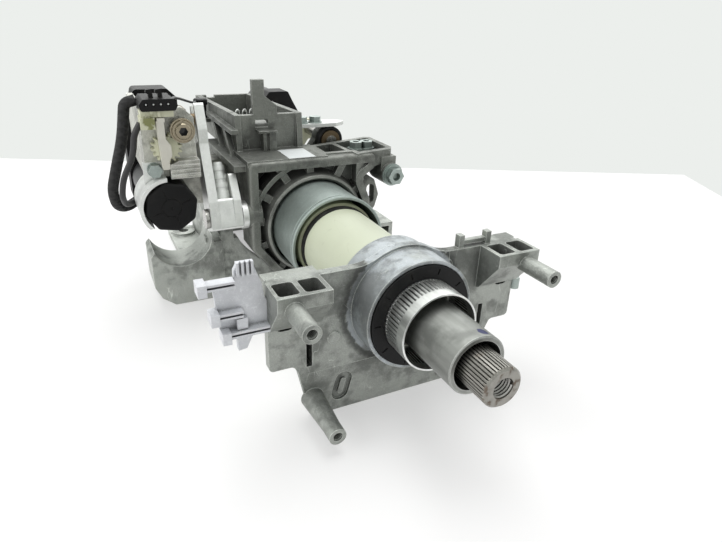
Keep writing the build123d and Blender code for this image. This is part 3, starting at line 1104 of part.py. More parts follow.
with BuildPart() as tilt_gearbox:
    add(slab_across([(-113, 10), (-103, 6), (-80, 6), (-76, 12), (-76, 80), (-82, 86), (-104, 86),
                     (-113, 50)], GEARBOX_Y, GEARBOX_Y + GEARBOX_DEPTH, radius=3))
    fillet(tilt_gearbox.faces().sort_by(Axis.Y)[-1].edges(), 2)
    add(rod(GEARBOX_Y - 1, GEARBOX_Y + 12.4, SPINDLE_R + RUNNING, x=SPINDLE_X, z=SPINDLE_Z),
        mode=Mode.SUBTRACT)
tilt_gearbox.part.label = "tilt_gearbox"
export_step(tilt_gearbox.part, "parts/tilt_gearbox.step")

with BuildPart() as gearbox_screws:
    for x, z in ((-108, 54), (-82, 54), (-100, 82), (-82, 18)):
        add(rod(GEARBOX_Y + GEARBOX_DEPTH, GEARBOX_Y + GEARBOX_DEPTH + 3, 3.2, x=x, z=z))
        add(rod(GEARBOX_Y + GEARBOX_DEPTH + 1.4, GEARBOX_Y + GEARBOX_DEPTH + 4, 1.6, x=x, z=z),
            mode=Mode.SUBTRACT)
gearbox_screws.part.label = "gearbox_screws"
export_step(gearbox_screws.part, "parts/gearbox_screws.step")

with BuildPart() as tilt_motor:
    add(turned([(MOTOR_Y, 0), (MOTOR_Y, MOTOR_R), (GEARBOX_Y - 2, MOTOR_R), (GEARBOX_Y, MOTOR_R - 2),
                (GEARBOX_Y, 0)], x=MOTOR_X, z=MOTOR_Z))
tilt_motor.part.label = "tilt_motor"
export_step(tilt_motor.part, "parts/tilt_motor.step")

# Black eight-sided motor cap with radial lines and a centre pip
with BuildPart() as motor_cap:
    with BuildSketch(across(MOTOR_CAP_Y)) as cap_face:
        with Locations((MOTOR_X, MOTOR_Z)):
            RegularPolygon(CAP_R, 8, rotation=12)
        fillet(cap_face.vertices(), 3)
    extrude(amount=-(MOTOR_Y - MOTOR_CAP_Y))
    fillet(motor_cap.faces().sort_by(Axis.Y)[0].edges(), 1.8)
    with BuildSketch(across(MOTOR_CAP_Y)):
        with Locations((MOTOR_X, MOTOR_Z)):
            Circle(6.0)
            Circle(5.4, mode=Mode.SUBTRACT)
            Circle(0.9)
            with PolarLocations(9.2, 4, start_angle=20):
                Rectangle(6.0, 0.6)
    extrude(amount=-0.5, mode=Mode.SUBTRACT)
motor_cap.part.label = "motor_cap"
export_step(motor_cap.part, "parts/motor_cap.step")

# Light metal strap over the left of the cap and the motor, held by the carrier's screw
with BuildPart() as motor_strap:
    with BuildSketch(across(MOTOR_CAP_Y - 0.6)):
        with Locations((MOTOR_X, MOTOR_Z)):
            Circle(CAP_R + LOOSE + STRAP_WALL)
            Circle(CAP_R + LOOSE, mode=Mode.SUBTRACT)
        with Locations((MOTOR_X + 29, MOTOR_Z), (MOTOR_X, MOTOR_Z - 32)):
            Rectangle(60, 40, mode=Mode.SUBTRACT)
    extrude(amount=-(MOTOR_Y + 16 - MOTOR_CAP_Y))
    # its rear half sits on the motor
    with BuildSketch(across(MOTOR_Y + LOOSE)):
        with Locations((MOTOR_X, MOTOR_Z)):
            Circle(CAP_R + LOOSE + 0.5)
            Circle(MOTOR_R, mode=Mode.SUBTRACT)
        with Locations((MOTOR_X + 29, MOTOR_Z), (MOTOR_X, MOTOR_Z - 32)):
            Rectangle(60, 40, mode=Mode.SUBTRACT)
    extrude(amount=-(15.4 - LOOSE))
    # eye under the carrier's screw
    add(slab_across([(MOTOR_X - 13, MOTOR_Z + 12), (MOTOR_X - 13, 53), (MOTOR_X - 2, 53),
                     (MOTOR_X - 1, MOTOR_Z + CAP_R + 0.6), (MOTOR_X - 6, MOTOR_Z + CAP_R + 0.4)],
                    CARRIER_Y - STRAP_EYE, CARRIER_Y))
    add(rod(MOTOR_CAP_Y - 1, MOTOR_Y + LOOSE, CAP_R + LOOSE, x=MOTOR_X, z=MOTOR_Z), mode=Mode.SUBTRACT)
    add(rod(CARRIER_Y - 3, CARRIER_Y + 1, CARRIER_SCREW_R, x=CARRIER_SCREW_X, z=CARRIER_SCREW_Z),
        mode=Mode.SUBTRACT)
    add(rod(GEAR_Y - 4, CARRIER_Y + 1, WHEEL_TIP_R + 0.6, x=WHEEL_X, z=WHEEL_Z), mode=Mode.SUBTRACT)
    add(block(CARRIER_LEFT_X - 6, CARRIER_RIGHT_X, CARRIER_Y, CARRIER_Y + 40, 42.8, 60),
        mode=Mode.SUBTRACT)
motor_strap.part.label = "motor_strap"
export_step(motor_strap.part, "parts/motor_strap.step")

with BuildPart() as carrier_screw:
    add(rod(CARRIER_Y - STRAP_EYE - 1.6, CARRIER_Y - STRAP_EYE, 4.4, x=CARRIER_SCREW_X, z=CARRIER_SCREW_Z))
    add(hexagon_rod(CARRIER_Y - STRAP_EYE - 5.5, CARRIER_Y - STRAP_EYE - 1, 7.4,
                    x=CARRIER_SCREW_X, z=CARRIER_SCREW_Z))
    add(rod(CARRIER_Y - STRAP_EYE - 1, CARRIER_Y + 12, CARRIER_SCREW_R,
            x=CARRIER_SCREW_X, z=CARRIER_SCREW_Z))
carrier_screw.part.label = "carrier_screw"
export_step(carrier_screw.part, "parts/carrier_screw.step")

# Pinkish cream guide in front of the sensor wheel, with the wheel's pivot stud
with BuildPart() as sensor_guide:
    add(slab_across([(-99.5, 50), (-95.4, 50), (-95.4, 55.5), (-93.5, 58), (-93.5, 64), (-96.1, 68),
                     (-96.1, 77), (-98, 80), (-100.5, 78)], GEAR_Y - 5, GEAR_Y - LOOSE, radius=1))
    add(rod(GEAR_Y - 1, CARRIER_Y, 2.5 - RUNNING, x=WHEEL_X, z=WHEEL_Z))
    add(block(-99.8, -95.5, GEAR_Y - 5, CARRIER_Y, 77.6, 80))
sensor_guide.part.label = "sensor_guide"
export_step(sensor_guide.part, "parts/sensor_guide.step")

# Cream sensor block under the black connector
with BuildPart() as sensor_block:
    add(block(-108, -90, 200, CARRIER_Y, 80.4, CARRIER_TOP_Z))
    add(block(-108.8, -101, 198, CARRIER_Y, 74, 80.4))
    for prong_x in (-103, -99):
        add(block(prong_x, prong_x + 1.6, 199, 201, 80.6, CARRIER_TOP_Z))
sensor_block.part.label = "sensor_block"
export_step(sensor_block.part, "parts/sensor_block.step")

with BuildPart() as sensor_connector:
    add(slab_across([(-107.5, CARRIER_TOP_Z), (-89, CARRIER_TOP_Z), (-87.3, CARRIER_TOP_Z + 3),
                     (-89.5, CONNECTOR_TOP_Z), (-106, CONNECTOR_TOP_Z), (-108.6, CARRIER_TOP_Z + 3.6)],
                    198, 222, radius=1))
    for pin_x in (-104.5, -100.5, -96.5, -92.5):
        add(rod(197, 203, 0.9, x=pin_x, z=CARRIER_TOP_Z + 3.6), mode=Mode.SUBTRACT)
    for hook_x in (-101.0, -95.8):
        add(slab_across([(hook_x - 1, CONNECTOR_TOP_Z - 1), (hook_x - 1, CONNECTOR_TOP_Z + 2),
                         (hook_x - 2.5, CONNECTOR_TOP_Z + 2.6), (hook_x - 2.2, CONNECTOR_TOP_Z + 4.4),
                         (hook_x + 1, CONNECTOR_TOP_Z + 4.8), (hook_x + 1.4, CONNECTOR_TOP_Z - 1)],
                        204, 208))
sensor_connector.part.label = "sensor_connector"
export_step(sensor_connector.part, "parts/sensor_connector.step")

# Leads from the connector and the sensor block round to the motor, held at both ends
MOTOR_LEAD_R = 3.2
SIGNAL_LEAD_R = 1.8


def arc_radii(points):
    """The largest even arc at each corner of a lead's route."""
    corners = [Vector(*p) for p in points]
    radii = []
    for before, corner, after in zip(corners, corners[1:], corners[2:]):
        arriving = corner - before
        leaving = after - corner
        shorter = min(arriving.length, leaving.length)
        half_turn = math.radians(arriving.get_angle(leaving)) / 2
        radii.append(0.45 * shorter / math.tan(half_turn))
    return radii


def lead_tube(points, radius, name):
    """A round lead along straight runs joined by tangent arcs."""
    radii = arc_radii(points)
    with BuildPart(mode=Mode.PRIVATE) as tube:
        with BuildLine() as route:
            FilletPolyline(*points, radius=radii)
        path = route.wires()[0]
        with BuildSketch(Plane(origin=path @ 0, z_dir=path % 0)):
            Circle(radius)
        sweep(path=path)
    expected = math.pi * radius ** 2 * path.length
    print(name, "radii", [round(r, 1) for r in radii], "length", round(path.length, 1),
          "volume / section x length", round(tube.part.volume / expected, 4))
    return tube.part


with BuildPart() as motor_lead:
    add(lead_tube([
        (-108.3, 216, 88), (-114.5, 216.5, 86.4), (-118, 219, 66), (-124, 222, 47), (-128, 225, 33),
        (-126.5, 231, 21), (-120.5, 238, 17), (-111.6, 244, 20),
    ], MOTOR_LEAD_R, "motor_lead"))
    add(sensor_connector.part, mode=Mode.SUBTRACT)
    add(rod(MOTOR_Y, GEARBOX_Y, MOTOR_R, x=MOTOR_X, z=MOTOR_Z), mode=Mode.SUBTRACT)
motor_lead.part.label = "motor_lead"
export_step(motor_lead.part, "parts/motor_lead.step")

with BuildPart() as signal_lead:
    add(lead_tube([
        (-108.6, 203, 77), (-112.5, 203, 71), (-114.5, 206, 58), (-121.5, 209, 44), (-123.5, 211, 33),
        (-121.5, 221, 24), (-116, 232, 22), (-111.7, 238, 23),
    ], SIGNAL_LEAD_R, "signal_lead"))
    add(sensor_block.part, mode=Mode.SUBTRACT)
    add(rod(MOTOR_Y, GEARBOX_Y, MOTOR_R, x=MOTOR_X, z=MOTOR_Z), mode=Mode.SUBTRACT)
signal_lead.part.label = "signal_lead"
export_step(signal_lead.part, "parts/signal_lead.step")

# Round plug on a small bracket at the trough's left wall
PLUG_X = -51.0
PLUG_Y = 322.0
with BuildPart() as position_plug:
    add(upright_rod(PLUG_X, PLUG_Y, 57, 67, 4.2))
    add(upright_rod(PLUG_X, PLUG_Y, 67, 71.5, 5.4))
    chamfer(position_plug.edges().group_by(Axis.Z)[-1], 0.8)
position_plug.part.label = "position_plug"
export_step(position_plug.part, "parts/position_plug.step")

# Small shelf on a post, against the middle of the trough's front wall
with BuildPart() as trough_clip:
    add(block(TAB_X - 3, TAB_X + 10, FRONT_WALL_Y - 8.5, FRONT_WALL_Y, 60.2, 61.8))
    add(block(TAB_X + 0.5, TAB_X + 10, FRONT_WALL_Y - 6.5, FRONT_WALL_Y, DECK_TOP_Z, 60.5))
    add(block(TAB_X + 2.5, TAB_X + 5, FRONT_WALL_Y - 7, FRONT_WALL_Y - 5, DECK_TOP_Z - 1, 60.2),
        mode=Mode.SUBTRACT)
trough_clip.part.label = "trough_clip"
export_step(trough_clip.part, "parts/trough_clip.step")

# Reach drive: front bush with its rubber ring, cover plate, spindle, gearbox and motor
with BuildPart() as reach_front_bush:
    add(rod(REACH_FRONT_Y, REACH_LUG_Y + 8, 7.6, x=REACH_X, z=REACH_Z, bore=REACH_SPINDLE_R + RUNNING))
reach_front_bush.part.label = "reach_front_bush"
export_step(reach_front_bush.part, "parts/reach_front_bush.step")

with BuildPart() as reach_rubber_ring:
    add(rod(REACH_FRONT_Y + 1, REACH_LUG_Y, 10.5, x=REACH_X, z=REACH_Z, bore=7.6))
    fillet(reach_rubber_ring.edges().filter_by(GeomType.CIRCLE).group_by(Axis.Y)[0], 1.2)
reach_rubber_ring.part.label = "reach_rubber_ring"
export_step(reach_rubber_ring.part, "parts/reach_rubber_ring.step")

COVER_Z = REACH_Z + 10.8
with BuildPart() as reach_cover_plate:
    with BuildSketch(Plane.XY.offset(COVER_Z)) as cover_face:
        with BuildLine():
            Polyline((TROUGH_RIGHT_X, REACH_FRONT_Y), (REACH_X + 4, REACH_FRONT_Y - 1),
                     (REACH_X + 13, REACH_FRONT_Y + 5), (REACH_X + 13, REACH_FRONT_Y + 9),
                     (REACH_X + 4, REACH_FRONT_Y + 14), (TROUGH_RIGHT_X, REACH_FRONT_Y + 16), close=True)
        make_face()
        fillet(cover_face.vertices().filter_by(lambda v: v.X > 20), 2)
    extrude(amount=2.6)
    add(block(TROUGH_RIGHT_X, TROUGH_RIGHT_X + 2.6, REACH_FRONT_Y, REACH_FRONT_Y + 16,
              COVER_Z - 7, COVER_Z + 1))
reach_cover_plate.part.label = "reach_cover_plate"
export_step(reach_cover_plate.part, "parts/reach_cover_plate.step")

with BuildPart() as cover_plate_bolts:
    for bolt_x in (TROUGH_RIGHT_X + 8, TROUGH_RIGHT_X + 19):
        add(upright_rod(bolt_x, REACH_FRONT_Y + 6, COVER_Z + 2.6, COVER_Z + 3.6, 5.4))
        with BuildSketch(Plane.XY.offset(COVER_Z + 3.6)):
            with Locations((bolt_x, REACH_FRONT_Y + 6)):
                RegularPolygon(4.6, 6)
        extrude(amount=3.6)
cover_plate_bolts.part.label = "cover_plate_bolts"
export_step(cover_plate_bolts.part, "parts/cover_plate_bolts.step")

with BuildPart() as reach_spindle:
    add(rod(REACH_FRONT_Y - 1.5, REACH_GEARBOX_Y + 12, REACH_SPINDLE_R, x=REACH_X, z=REACH_Z))
reach_spindle.part.label = "reach_spindle"
export_step(reach_spindle.part, "parts/reach_spindle.step")

REACH_MOTOR_X = 25.0
REACH_MOTOR_Z = 53.0
REACH_MOTOR_R = 14.5
REACH_GEARBOX_DEPTH = 21.0
with BuildPart() as reach_gearbox:
    add(slab_across([(10, 43), (18, 37), (40, 37), (40, 54), (35, 63), (31, 71), (14, 71), (10, 66)],
                    REACH_GEARBOX_Y, REACH_GEARBOX_Y + REACH_GEARBOX_DEPTH, radius=2))
    add(rod(REACH_GEARBOX_Y - 1, REACH_GEARBOX_Y + 12.5, REACH_SPINDLE_R + RUNNING, x=REACH_X, z=REACH_Z),
        mode=Mode.SUBTRACT)
reach_gearbox.part.label = "reach_gearbox"
export_step(reach_gearbox.part, "parts/reach_gearbox.step")

with BuildPart() as reach_motor:
    motor_y = REACH_GEARBOX_Y + REACH_GEARBOX_DEPTH
    add(turned([(motor_y, 0), (motor_y, REACH_MOTOR_R), (motor_y + 44, REACH_MOTOR_R),
                (motor_y + 46, REACH_MOTOR_R - 2), (motor_y + 46, 5), (motor_y + 49, 5),
                (motor_y + 49, 0)], x=REACH_MOTOR_X, z=REACH_MOTOR_Z))
reach_motor.part.label = "reach_motor"
export_step(reach_motor.part, "parts/reach_motor.step")

# Rear bearing plate with its screws and plain bush
with BuildPart() as rear_plate:
    add(turned([
        (BARREL_END_Y, 16), (BARREL_END_Y, BARREL_R), (BARREL_END_Y + REAR_RIM, BARREL_R),
        (BARREL_END_Y + REAR_RIM, 31), (BARREL_END_Y + REAR_RIM + 4, 25),
        (BARREL_END_Y + REAR_PLATE_THICKNESS, 23), (BARREL_END_Y + REAR_PLATE_THICKNESS, 16),
    ]))
    add(rear_screws(BARREL_END_Y - 1, 0), mode=Mode.SUBTRACT)
rear_plate.part.label = "rear_plate"
export_step(rear_plate.part, "parts/rear_plate.step")

with BuildPart() as rear_plate_screws:
    add(rear_screws(BARREL_END_Y - REAR_SCREW_DEPTH, 3.5))
rear_plate_screws.part.label = "rear_plate_screws"
export_step(rear_plate_screws.part, "parts/rear_plate_screws.step")

with BuildPart() as lower_bush:
    add(rod(BARREL_END_Y, BARREL_END_Y + REAR_PLATE_THICKNESS, 16, bore=LOWER_SHAFT_R + RUNNING))
lower_bush.part.label = "lower_bush"
export_step(lower_bush.part, "parts/lower_bush.step")

# Lower shaft: tube with a hexagonal bore for the steering shaft, and the joint yoke at its end
with BuildPart() as lower_shaft:
    add(turned([
        (LOWER_SHAFT_Y, 0), (LOWER_SHAFT_Y, LOWER_SHAFT_R), (YOKE_Y - 2.3, LOWER_SHAFT_R),
        (YOKE_Y - 0.3, YOKE_BORE_R), (LOWER_SHAFT_END_Y, YOKE_BORE_R), (LOWER_SHAFT_END_Y, 0),
    ]))
    add(hexagon_rod(LOWER_SHAFT_Y - 1, HEX_END_Y + REACH + 2, HEX_FLATS + 2 * RUNNING), mode=Mode.SUBTRACT)
lower_shaft.part.label = "lower_shaft"
export_step(lower_shaft.part, "parts/lower_shaft.step")

with BuildPart() as joint_yoke:
    add(rod(YOKE_Y, LOWER_SHAFT_END_Y, YOKE_R, bore=YOKE_BORE_R))
    for side in (-1, 1):
        ear_x = sorted((side * 9.5, side * 15.5))
        with BuildSketch(beside(ear_x[0])):
            with BuildLine():
                Polyline((410, -9), (YOKE_EYE_Y, -12), (YOKE_EYE_Y, 12), (410, 9), close=True)
            make_face()
            with Locations((YOKE_EYE_Y, 0)):
                Circle(12)
                Circle(YOKE_EYE_R, mode=Mode.SUBTRACT)
        extrude(amount=ear_x[1] - ear_x[0])
    add(rod(YOKE_Y, LOWER_SHAFT_END_Y + 1, YOKE_BORE_R), mode=Mode.SUBTRACT)
joint_yoke.part.label = "joint_yoke"
export_step(joint_yoke.part, "parts/joint_yoke.step")
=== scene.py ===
"""Looks of a motor driven steering column, set round its measured solids."""
import math

import bpy
from mathutils import Matrix, Vector


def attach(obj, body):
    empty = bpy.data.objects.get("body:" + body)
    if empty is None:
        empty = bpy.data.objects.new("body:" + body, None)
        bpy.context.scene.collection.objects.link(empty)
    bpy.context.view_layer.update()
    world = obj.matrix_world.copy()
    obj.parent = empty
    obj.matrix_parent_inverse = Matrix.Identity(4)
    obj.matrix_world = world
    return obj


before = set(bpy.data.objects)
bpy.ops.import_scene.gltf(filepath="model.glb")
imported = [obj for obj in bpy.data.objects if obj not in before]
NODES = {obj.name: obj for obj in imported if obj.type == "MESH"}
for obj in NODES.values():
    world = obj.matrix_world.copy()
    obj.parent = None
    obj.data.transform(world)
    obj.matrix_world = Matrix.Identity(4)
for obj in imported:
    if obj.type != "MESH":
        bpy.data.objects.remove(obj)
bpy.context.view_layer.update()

bl_info = {
    "name": "Steering column looks",
    "version": (1, 0, 0),
    "blender": (4, 5, 0),
    "location": "3D View > Sidebar > Steering column",
    "description": "Finishes, small pieces and the stage of a motor driven steering column",
    "category": "Object",
}

MM = 0.001
ALONG_COLUMN = (math.pi / 2, 0.0, 0.0)    # lays a primitive's axis along the column

# Places on the solids, in millimetres
HUB_X, HUB_Z = -86.0, 72.0
GREASE_SPOT = (-104, 198, 78)
PAINT_SPOT = (3.9, 21.8, 14.6)
FIRST_POST = (-67.0, 45.8, 17.0)
POST_SHIFTS = (("upper_right", (134.0, 0.0, 0.0)), ("lower_left", (16.0, 7.2, -67.0)),
               ("lower_right", (118.0, 7.2, -67.0)))
FIRST_PIN, PIN_SPACING = (-104.5, 201.2, 87.6), 4.0
FIRST_LOOP, LOOP_SPACING = (-39.0, 255.0, 69.3), 5.0
LEAD_START = (-89.0, 208.0, 87.0)
LEAD_STEPS = ((0.4, 6, 0.3), (1.6, 10, -0.5), (4, 14, -1.6), (6, 18, -3.4), (7, 20, -4.4),
              (6.5, 18, -4), (5, 14, -2.6), (3, 10, -1.2), (1.2, 4, 0))
LABEL_PLACE = (-8.5, 220.5, 48.12)
LABEL_THICKNESS = 0.24

# Where a finish or a painted shade changes on a solid, in metres: a ramp's low and high end
BOSS_RIM = (0.0338, 0.033)
GRIME_OUTSIDE, GRIME_INSIDE = (0.0415, 0.0375), (0.0355, 0.0368)
# the hub's socket is painted dark between these, as shade inside it
SHADED_SOCKET_WALL, SHADED_SOCKET_DEPTH = (0.0031, 0.0027), (0.1971, 0.1978)
PAINT_EDGE = (0.0042, 0.0036)
GREASE_EDGE = (0.0085, 0.006)
# the grooves over these spans are painted dark as shade in them
SPLINE_GROOVES, SPLINE_SPAN = 40, (0.001, 0.0305)
RING_FLUTES, FLUTED_SPAN = 64, (0.0523, 0.0643)
FLUTE_RUNOUT = 0.0012
END_RUST = (0.004, 0.0)

# The stage, in metres and watts
STAGE_MIDDLE = (0.0, 0.2, 0.0)
TABLE_PLACE = (0.0, 0.2, -0.0621)
LAMPS = (("overhead lamp", (0.05, 0.35, 1.4), (1.2, 1.2), 14.0),
         ("left lamp", (-1.3, 0.1, 0.6), (0.9, 0.9), 8.0),
         ("back lamp", (0.35, 0.95, 0.4), (1.6, 0.6), 3.0))
ROOM_LIGHT = 0.45
# Each fold of the card: its shares of X and Y, and what they add up to there
CARD_FOLDS = ((0.4145, 0.910, 0.578), (0.872, -0.489, 0.375))
FOLD_BLUR = 0.0015
TABLE_FADE = (0.6, 1.1)   # from here on the table is plain white
TABLE_SHADOW = 0.6        # share of the table's white that the lamps light, and so a shadow can dim
TABLE_GLOW = 0.41         # share that it gives of itself
TABLE_BOUNCE = 0.8        # what it sends back to the column

# The camera, solved from the photograph: place and lens in millimetres, turns in degrees
CAMERA_PLACE = (-139.5, -138.5, 141.0)
CAMERA_BEARING = 27.19
CAMERA_DROP = 25.53
CAMERA_ROLL = 2.08
CAMERA_LENS = 27.6


def metres(place):
    """A place given in millimetres."""
    return tuple(value * MM for value in place)


def colour(red, green, blue):
    """A display colour from 0 to 255 as the linear colour that a shader takes."""
    return tuple(
        value / 12.92 if value <= 0.04045 else ((value + 0.055) / 1.055) ** 2.4
        for value in (red / 255, green / 255, blue / 255)
    )


def shade(base, share, lift=0.0):
    """A colour made darker or lighter by a share, and lifted towards white."""
    return tuple(min(1.0, value * share + lift) for value in base)


def colour_property(name, description, first):
    """A colour that a user may change."""
    return bpy.props.FloatVectorProperty(
        name=name, description=description, default=first, size=3, min=0.0, max=1.0, subtype="COLOR")


def length_property(name, description, millimetres):
    """A length that a user may change."""
    return bpy.props.FloatProperty(
        name=name, description=description, default=millimetres * MM, min=0.0, unit="LENGTH")


class ColumnColours(bpy.types.PropertyGroup):
    """Colours of the column's finishes."""

    casting: colour_property("Casting", "Warm grey of the brackets", colour(156, 159, 154))
    housing: colour_property("Housing", "Darker grey of the housing", colour(122, 124, 119))
    boss: colour_property("Boss", "Cool grey of the front boss", colour(180, 186, 191))
    light_casting: colour_property("Light casting", "Grey of the drive carrier", colour(190, 190, 182))
    zinc: colour_property("Zinc", "Bluish zinc plate", colour(164, 174, 170))
    bright: colour_property("Bright", "Tumbled aluminium and bright steel", colour(236, 238, 235))
    bearing: colour_property("Ground steel", "Ground and turned steel", colour(176, 175, 171))
    rust: colour_property("Rust", "Light rust on bare steel", colour(98, 80, 64))
    spline: colour_property("Spline", "Bare steel of the shaft's spline", colour(152, 150, 144))
    grey_tube: colour_property("Grey tube", "Phosphated tube round the shaft", colour(156, 158, 154))
    paint_dab: colour_property("Paint dab", "Assembly mark on the grey tube", colour(24, 30, 84))
    cream_tube: colour_property("Cream tube", "Coating of the sliding tube", colour(199, 205, 182))
    cream_sleeve: colour_property("Cream sleeve", "Low friction sleeve", colour(186, 192, 160))
    cream_plastic: colour_property("Cream plastic", "Sensor wheel and block", colour(222, 223, 196))
    guide: colour_property("Guide", "Clear plastic guide of the sensor wheel", colour(226, 224, 212))
    grey_plastic: colour_property("Grey plastic", "Clip carrier", colour(220, 222, 226))
    black: colour_property("Black plastic", "Caps, gearboxes and plugs", colour(7, 7, 8))
    rubber: colour_property("Rubber", "Rings and lead sleeve", colour(9, 9, 9))
    nickel: colour_property("Nickel", "Plated spindle hub", colour(150, 141, 122))
    bronze: colour_property("Bronze", "Sintered bushes and nuts", colour(124, 108, 86))
    motor: colour_property("Motor can", "Dark coated motor cans", colour(38, 39, 40))
    forging: colour_property("Forging", "Phosphated yoke", colour(60, 61, 62))
    light_lead: colour_property("Light lead", "Thin dark leads", colour(40, 40, 41))
    grease: colour_property("Grease", "Green grease on the sensor block", colour(118, 122, 58))
    label: colour_property("Label", "Bare label on the deck", colour(216, 221, 220))
    floor: colour_property("Floor", "Table top", colour(250, 250, 249))
    wall: colour_property("Wall", "Card and room behind the table", colour(236, 239, 236))


class ColumnSizes(bpy.types.PropertyGroup):
    """Sizes of the column's small pieces and of the stage."""

    # edges on this radius are lightened by wear and as a painted highlight
    edge: length_property("Edge", "Radius of a casting's worn edges", 0.7)
    fine_edge: length_property("Fine edge", "Radius of a machined edge", 0.25)
    label_width: length_property("Label width", "Across the deck", 19.0)
    label_length: length_property("Label length", "Along the deck", 25.0)
    floor_size: length_property("Floor size", "Side of the square table top", 6000.0)


def colours():
    """The colours as they are set now."""
    return bpy.context.scene.column_colours


def sizes():
    """The sizes as they are set now."""
    return bpy.context.scene.column_sizes


class Field:
    """One socket of a shader, so that a sum on it is written as a sum."""

    def __init__(self, shader, socket):
        self.shader = shader
        self.socket = socket

    def __add__(self, other):
        return self.shader.maths("ADD", self, other)

    __radd__ = __add__

    def __sub__(self, other):
        return self.shader.maths("SUBTRACT", self, other)

    def __rsub__(self, other):
        return self.shader.maths("SUBTRACT", other, self)

    def __mul__(self, other):
        return self.shader.maths("MULTIPLY", self, other)

    def highest(self, other):
        """The higher of two values."""
        return self.shader.maths("MAXIMUM", self, other)

    def size(self):
        """The value without its sign."""
        return self.shader.maths("ABSOLUTE", self)

    def ramp(self, low, high):
        """0 below low, 1 above high and smooth between; the other way round where low is the higher."""
        return self.shader.node("ShaderNodeMapRange", 0, {"interpolation_type": "SMOOTHSTEP"},
                                {"Value": self, "From Min": low, "From Max": high})


class Shader:
    """A material in the making, or the world."""

    def __init__(self, name, blocks=None):
        self.block = (bpy.data.materials if blocks is None else blocks).new(name)
        self.block.use_nodes = True
        self.tree = self.block.node_tree
        self.tree.nodes.clear()
        self.places = self.node("ShaderNodeTexCoord", "Object")

    def node(self, kind, output, settings=None, inputs=None):
        """A node's output: the node's settings are set first, then its sockets' values or links."""
        made = self.tree.nodes.new(kind)
        for name, value in (settings or {}).items():
            setattr(made, name, value)
        for name, value in (inputs or {}).items():
            if isinstance(value, Field):
                self.tree.links.new(value.socket, made.inputs[name])
            else:
                made.inputs[name].default_value = value
        return Field(self, made.outputs[output])

    def maths(self, operation, *values):
        """A Math node on these values."""
        return self.node("ShaderNodeMath", 0, {"operation": operation}, dict(enumerate(values)))

    def mix(self, factor, first, second):
        """The first colour where factor is 0, the second where it is 1."""
        first, second = (tone if isinstance(tone, Field) else (*tone, 1.0) for tone in (first, second))
        return self.node("ShaderNodeMix", 2, {"data_type": "RGBA"}, {0: factor, 6: first, 7: second})

    def stretched(self, x, y, z):
        """The coordinates, each squeezed by its own factor."""
        return self.node("ShaderNodeMapping", 0, None, {"Vector": self.places, "Scale": (x, y, z)})

    def noise(self, size, detail=3.0, places=None):
        """Soft noise with features about size metres across."""
        return self.node("ShaderNodeTexNoise", 0, None, {
            "Vector": places or self.places, "Scale": 1 / size, "Detail": detail, "Roughness": 0.55})

    def axis(self, name):
        """One coordinate in metres, X, Y or Z."""
        return self.node("ShaderNodeSeparateXYZ", name, None, {"Vector": self.places})

    def distance(self, x, y, z, places=None):
        """Distance from a point given in millimetres."""
        return self.node("ShaderNodeVectorMath", "Value", {"operation": "DISTANCE"},
                         {0: places or self.places, 1: metres((x, y, z))})

    def rounded(self, radius):
        """The surface's direction with its edges rounded."""
        return self.node("ShaderNodeBevel", 0, {"samples": 4}, {"Radius": radius})

    def edges(self, radius):
        """1 on edges and corners, 0 on flat stretches."""
        surface = self.node("ShaderNodeNewGeometry", "Normal")
        likeness = self.node("ShaderNodeVectorMath", "Value", {"operation": "DOT_PRODUCT"},
                             {0: self.rounded(radius), 1: surface})
        return (1 - likeness).ramp(0.01, 0.16)

    def hollows(self, reach):
        """1 deep in corners and pockets, 0 in the open."""
        open_sky = self.node("ShaderNodeAmbientOcclusion", "AO", {"samples": 4, "only_local": True},
                             {"Distance": reach})
        return (1 - open_sky).ramp(0.2, 0.85)

    def radial(self):
        """Distance from the shaft's axis."""
        return self.distance(0, 0, 0, self.stretched(1, 0, 1))

    def flutes(self, count):
        """1 in the middle of each of the grooves round the shaft's axis, 0 between them."""
        angle = self.maths("ARCTAN2", self.axis("Z"), self.axis("X"))
        return self.maths("COSINE", angle * count).ramp(-0.1, 0.75)

    def scratches(self, density, places):
        """Thin lines where stretched noise crosses its middle value."""
        lines = (self.noise(density, 1.0, places) - 0.5).size()
        return lines.ramp(0.012, 0.002)

    def surface(self, base, metallic, roughness, height=None, depth=0.0002, edge=None, **others):
        """Finishes the material: the bump is depth metres high, and edges are rounded by a radius."""
        inputs = {"Base Color": base, "Metallic": metallic, "Roughness": roughness, **others}
        normal = self.rounded(edge) if edge else None
        if height is not None:
            under = {"Normal": normal} if normal else {}
            normal = self.node("ShaderNodeBump", 0, None,
                               {"Height": height, "Distance": depth, "Strength": 1.0, **under})
        if normal:
            inputs["Normal"] = normal
        return self.close("ShaderNodeOutputMaterial", self.node("ShaderNodeBsdfPrincipled", 0, None, inputs))

    def close(self, kind, shading):
        """Gives the shading to an output node of this kind, and hands back the material or world."""
        output = self.tree.nodes.new(kind)
        self.tree.links.new(shading.socket, output.inputs["Surface"])
        return self.block


def dress(material, *names):
    """Gives a material to solids, by node name."""
    for name in names:
        solid = NODES[name]
        solid.data.materials.clear()
        solid.data.materials.append(material)


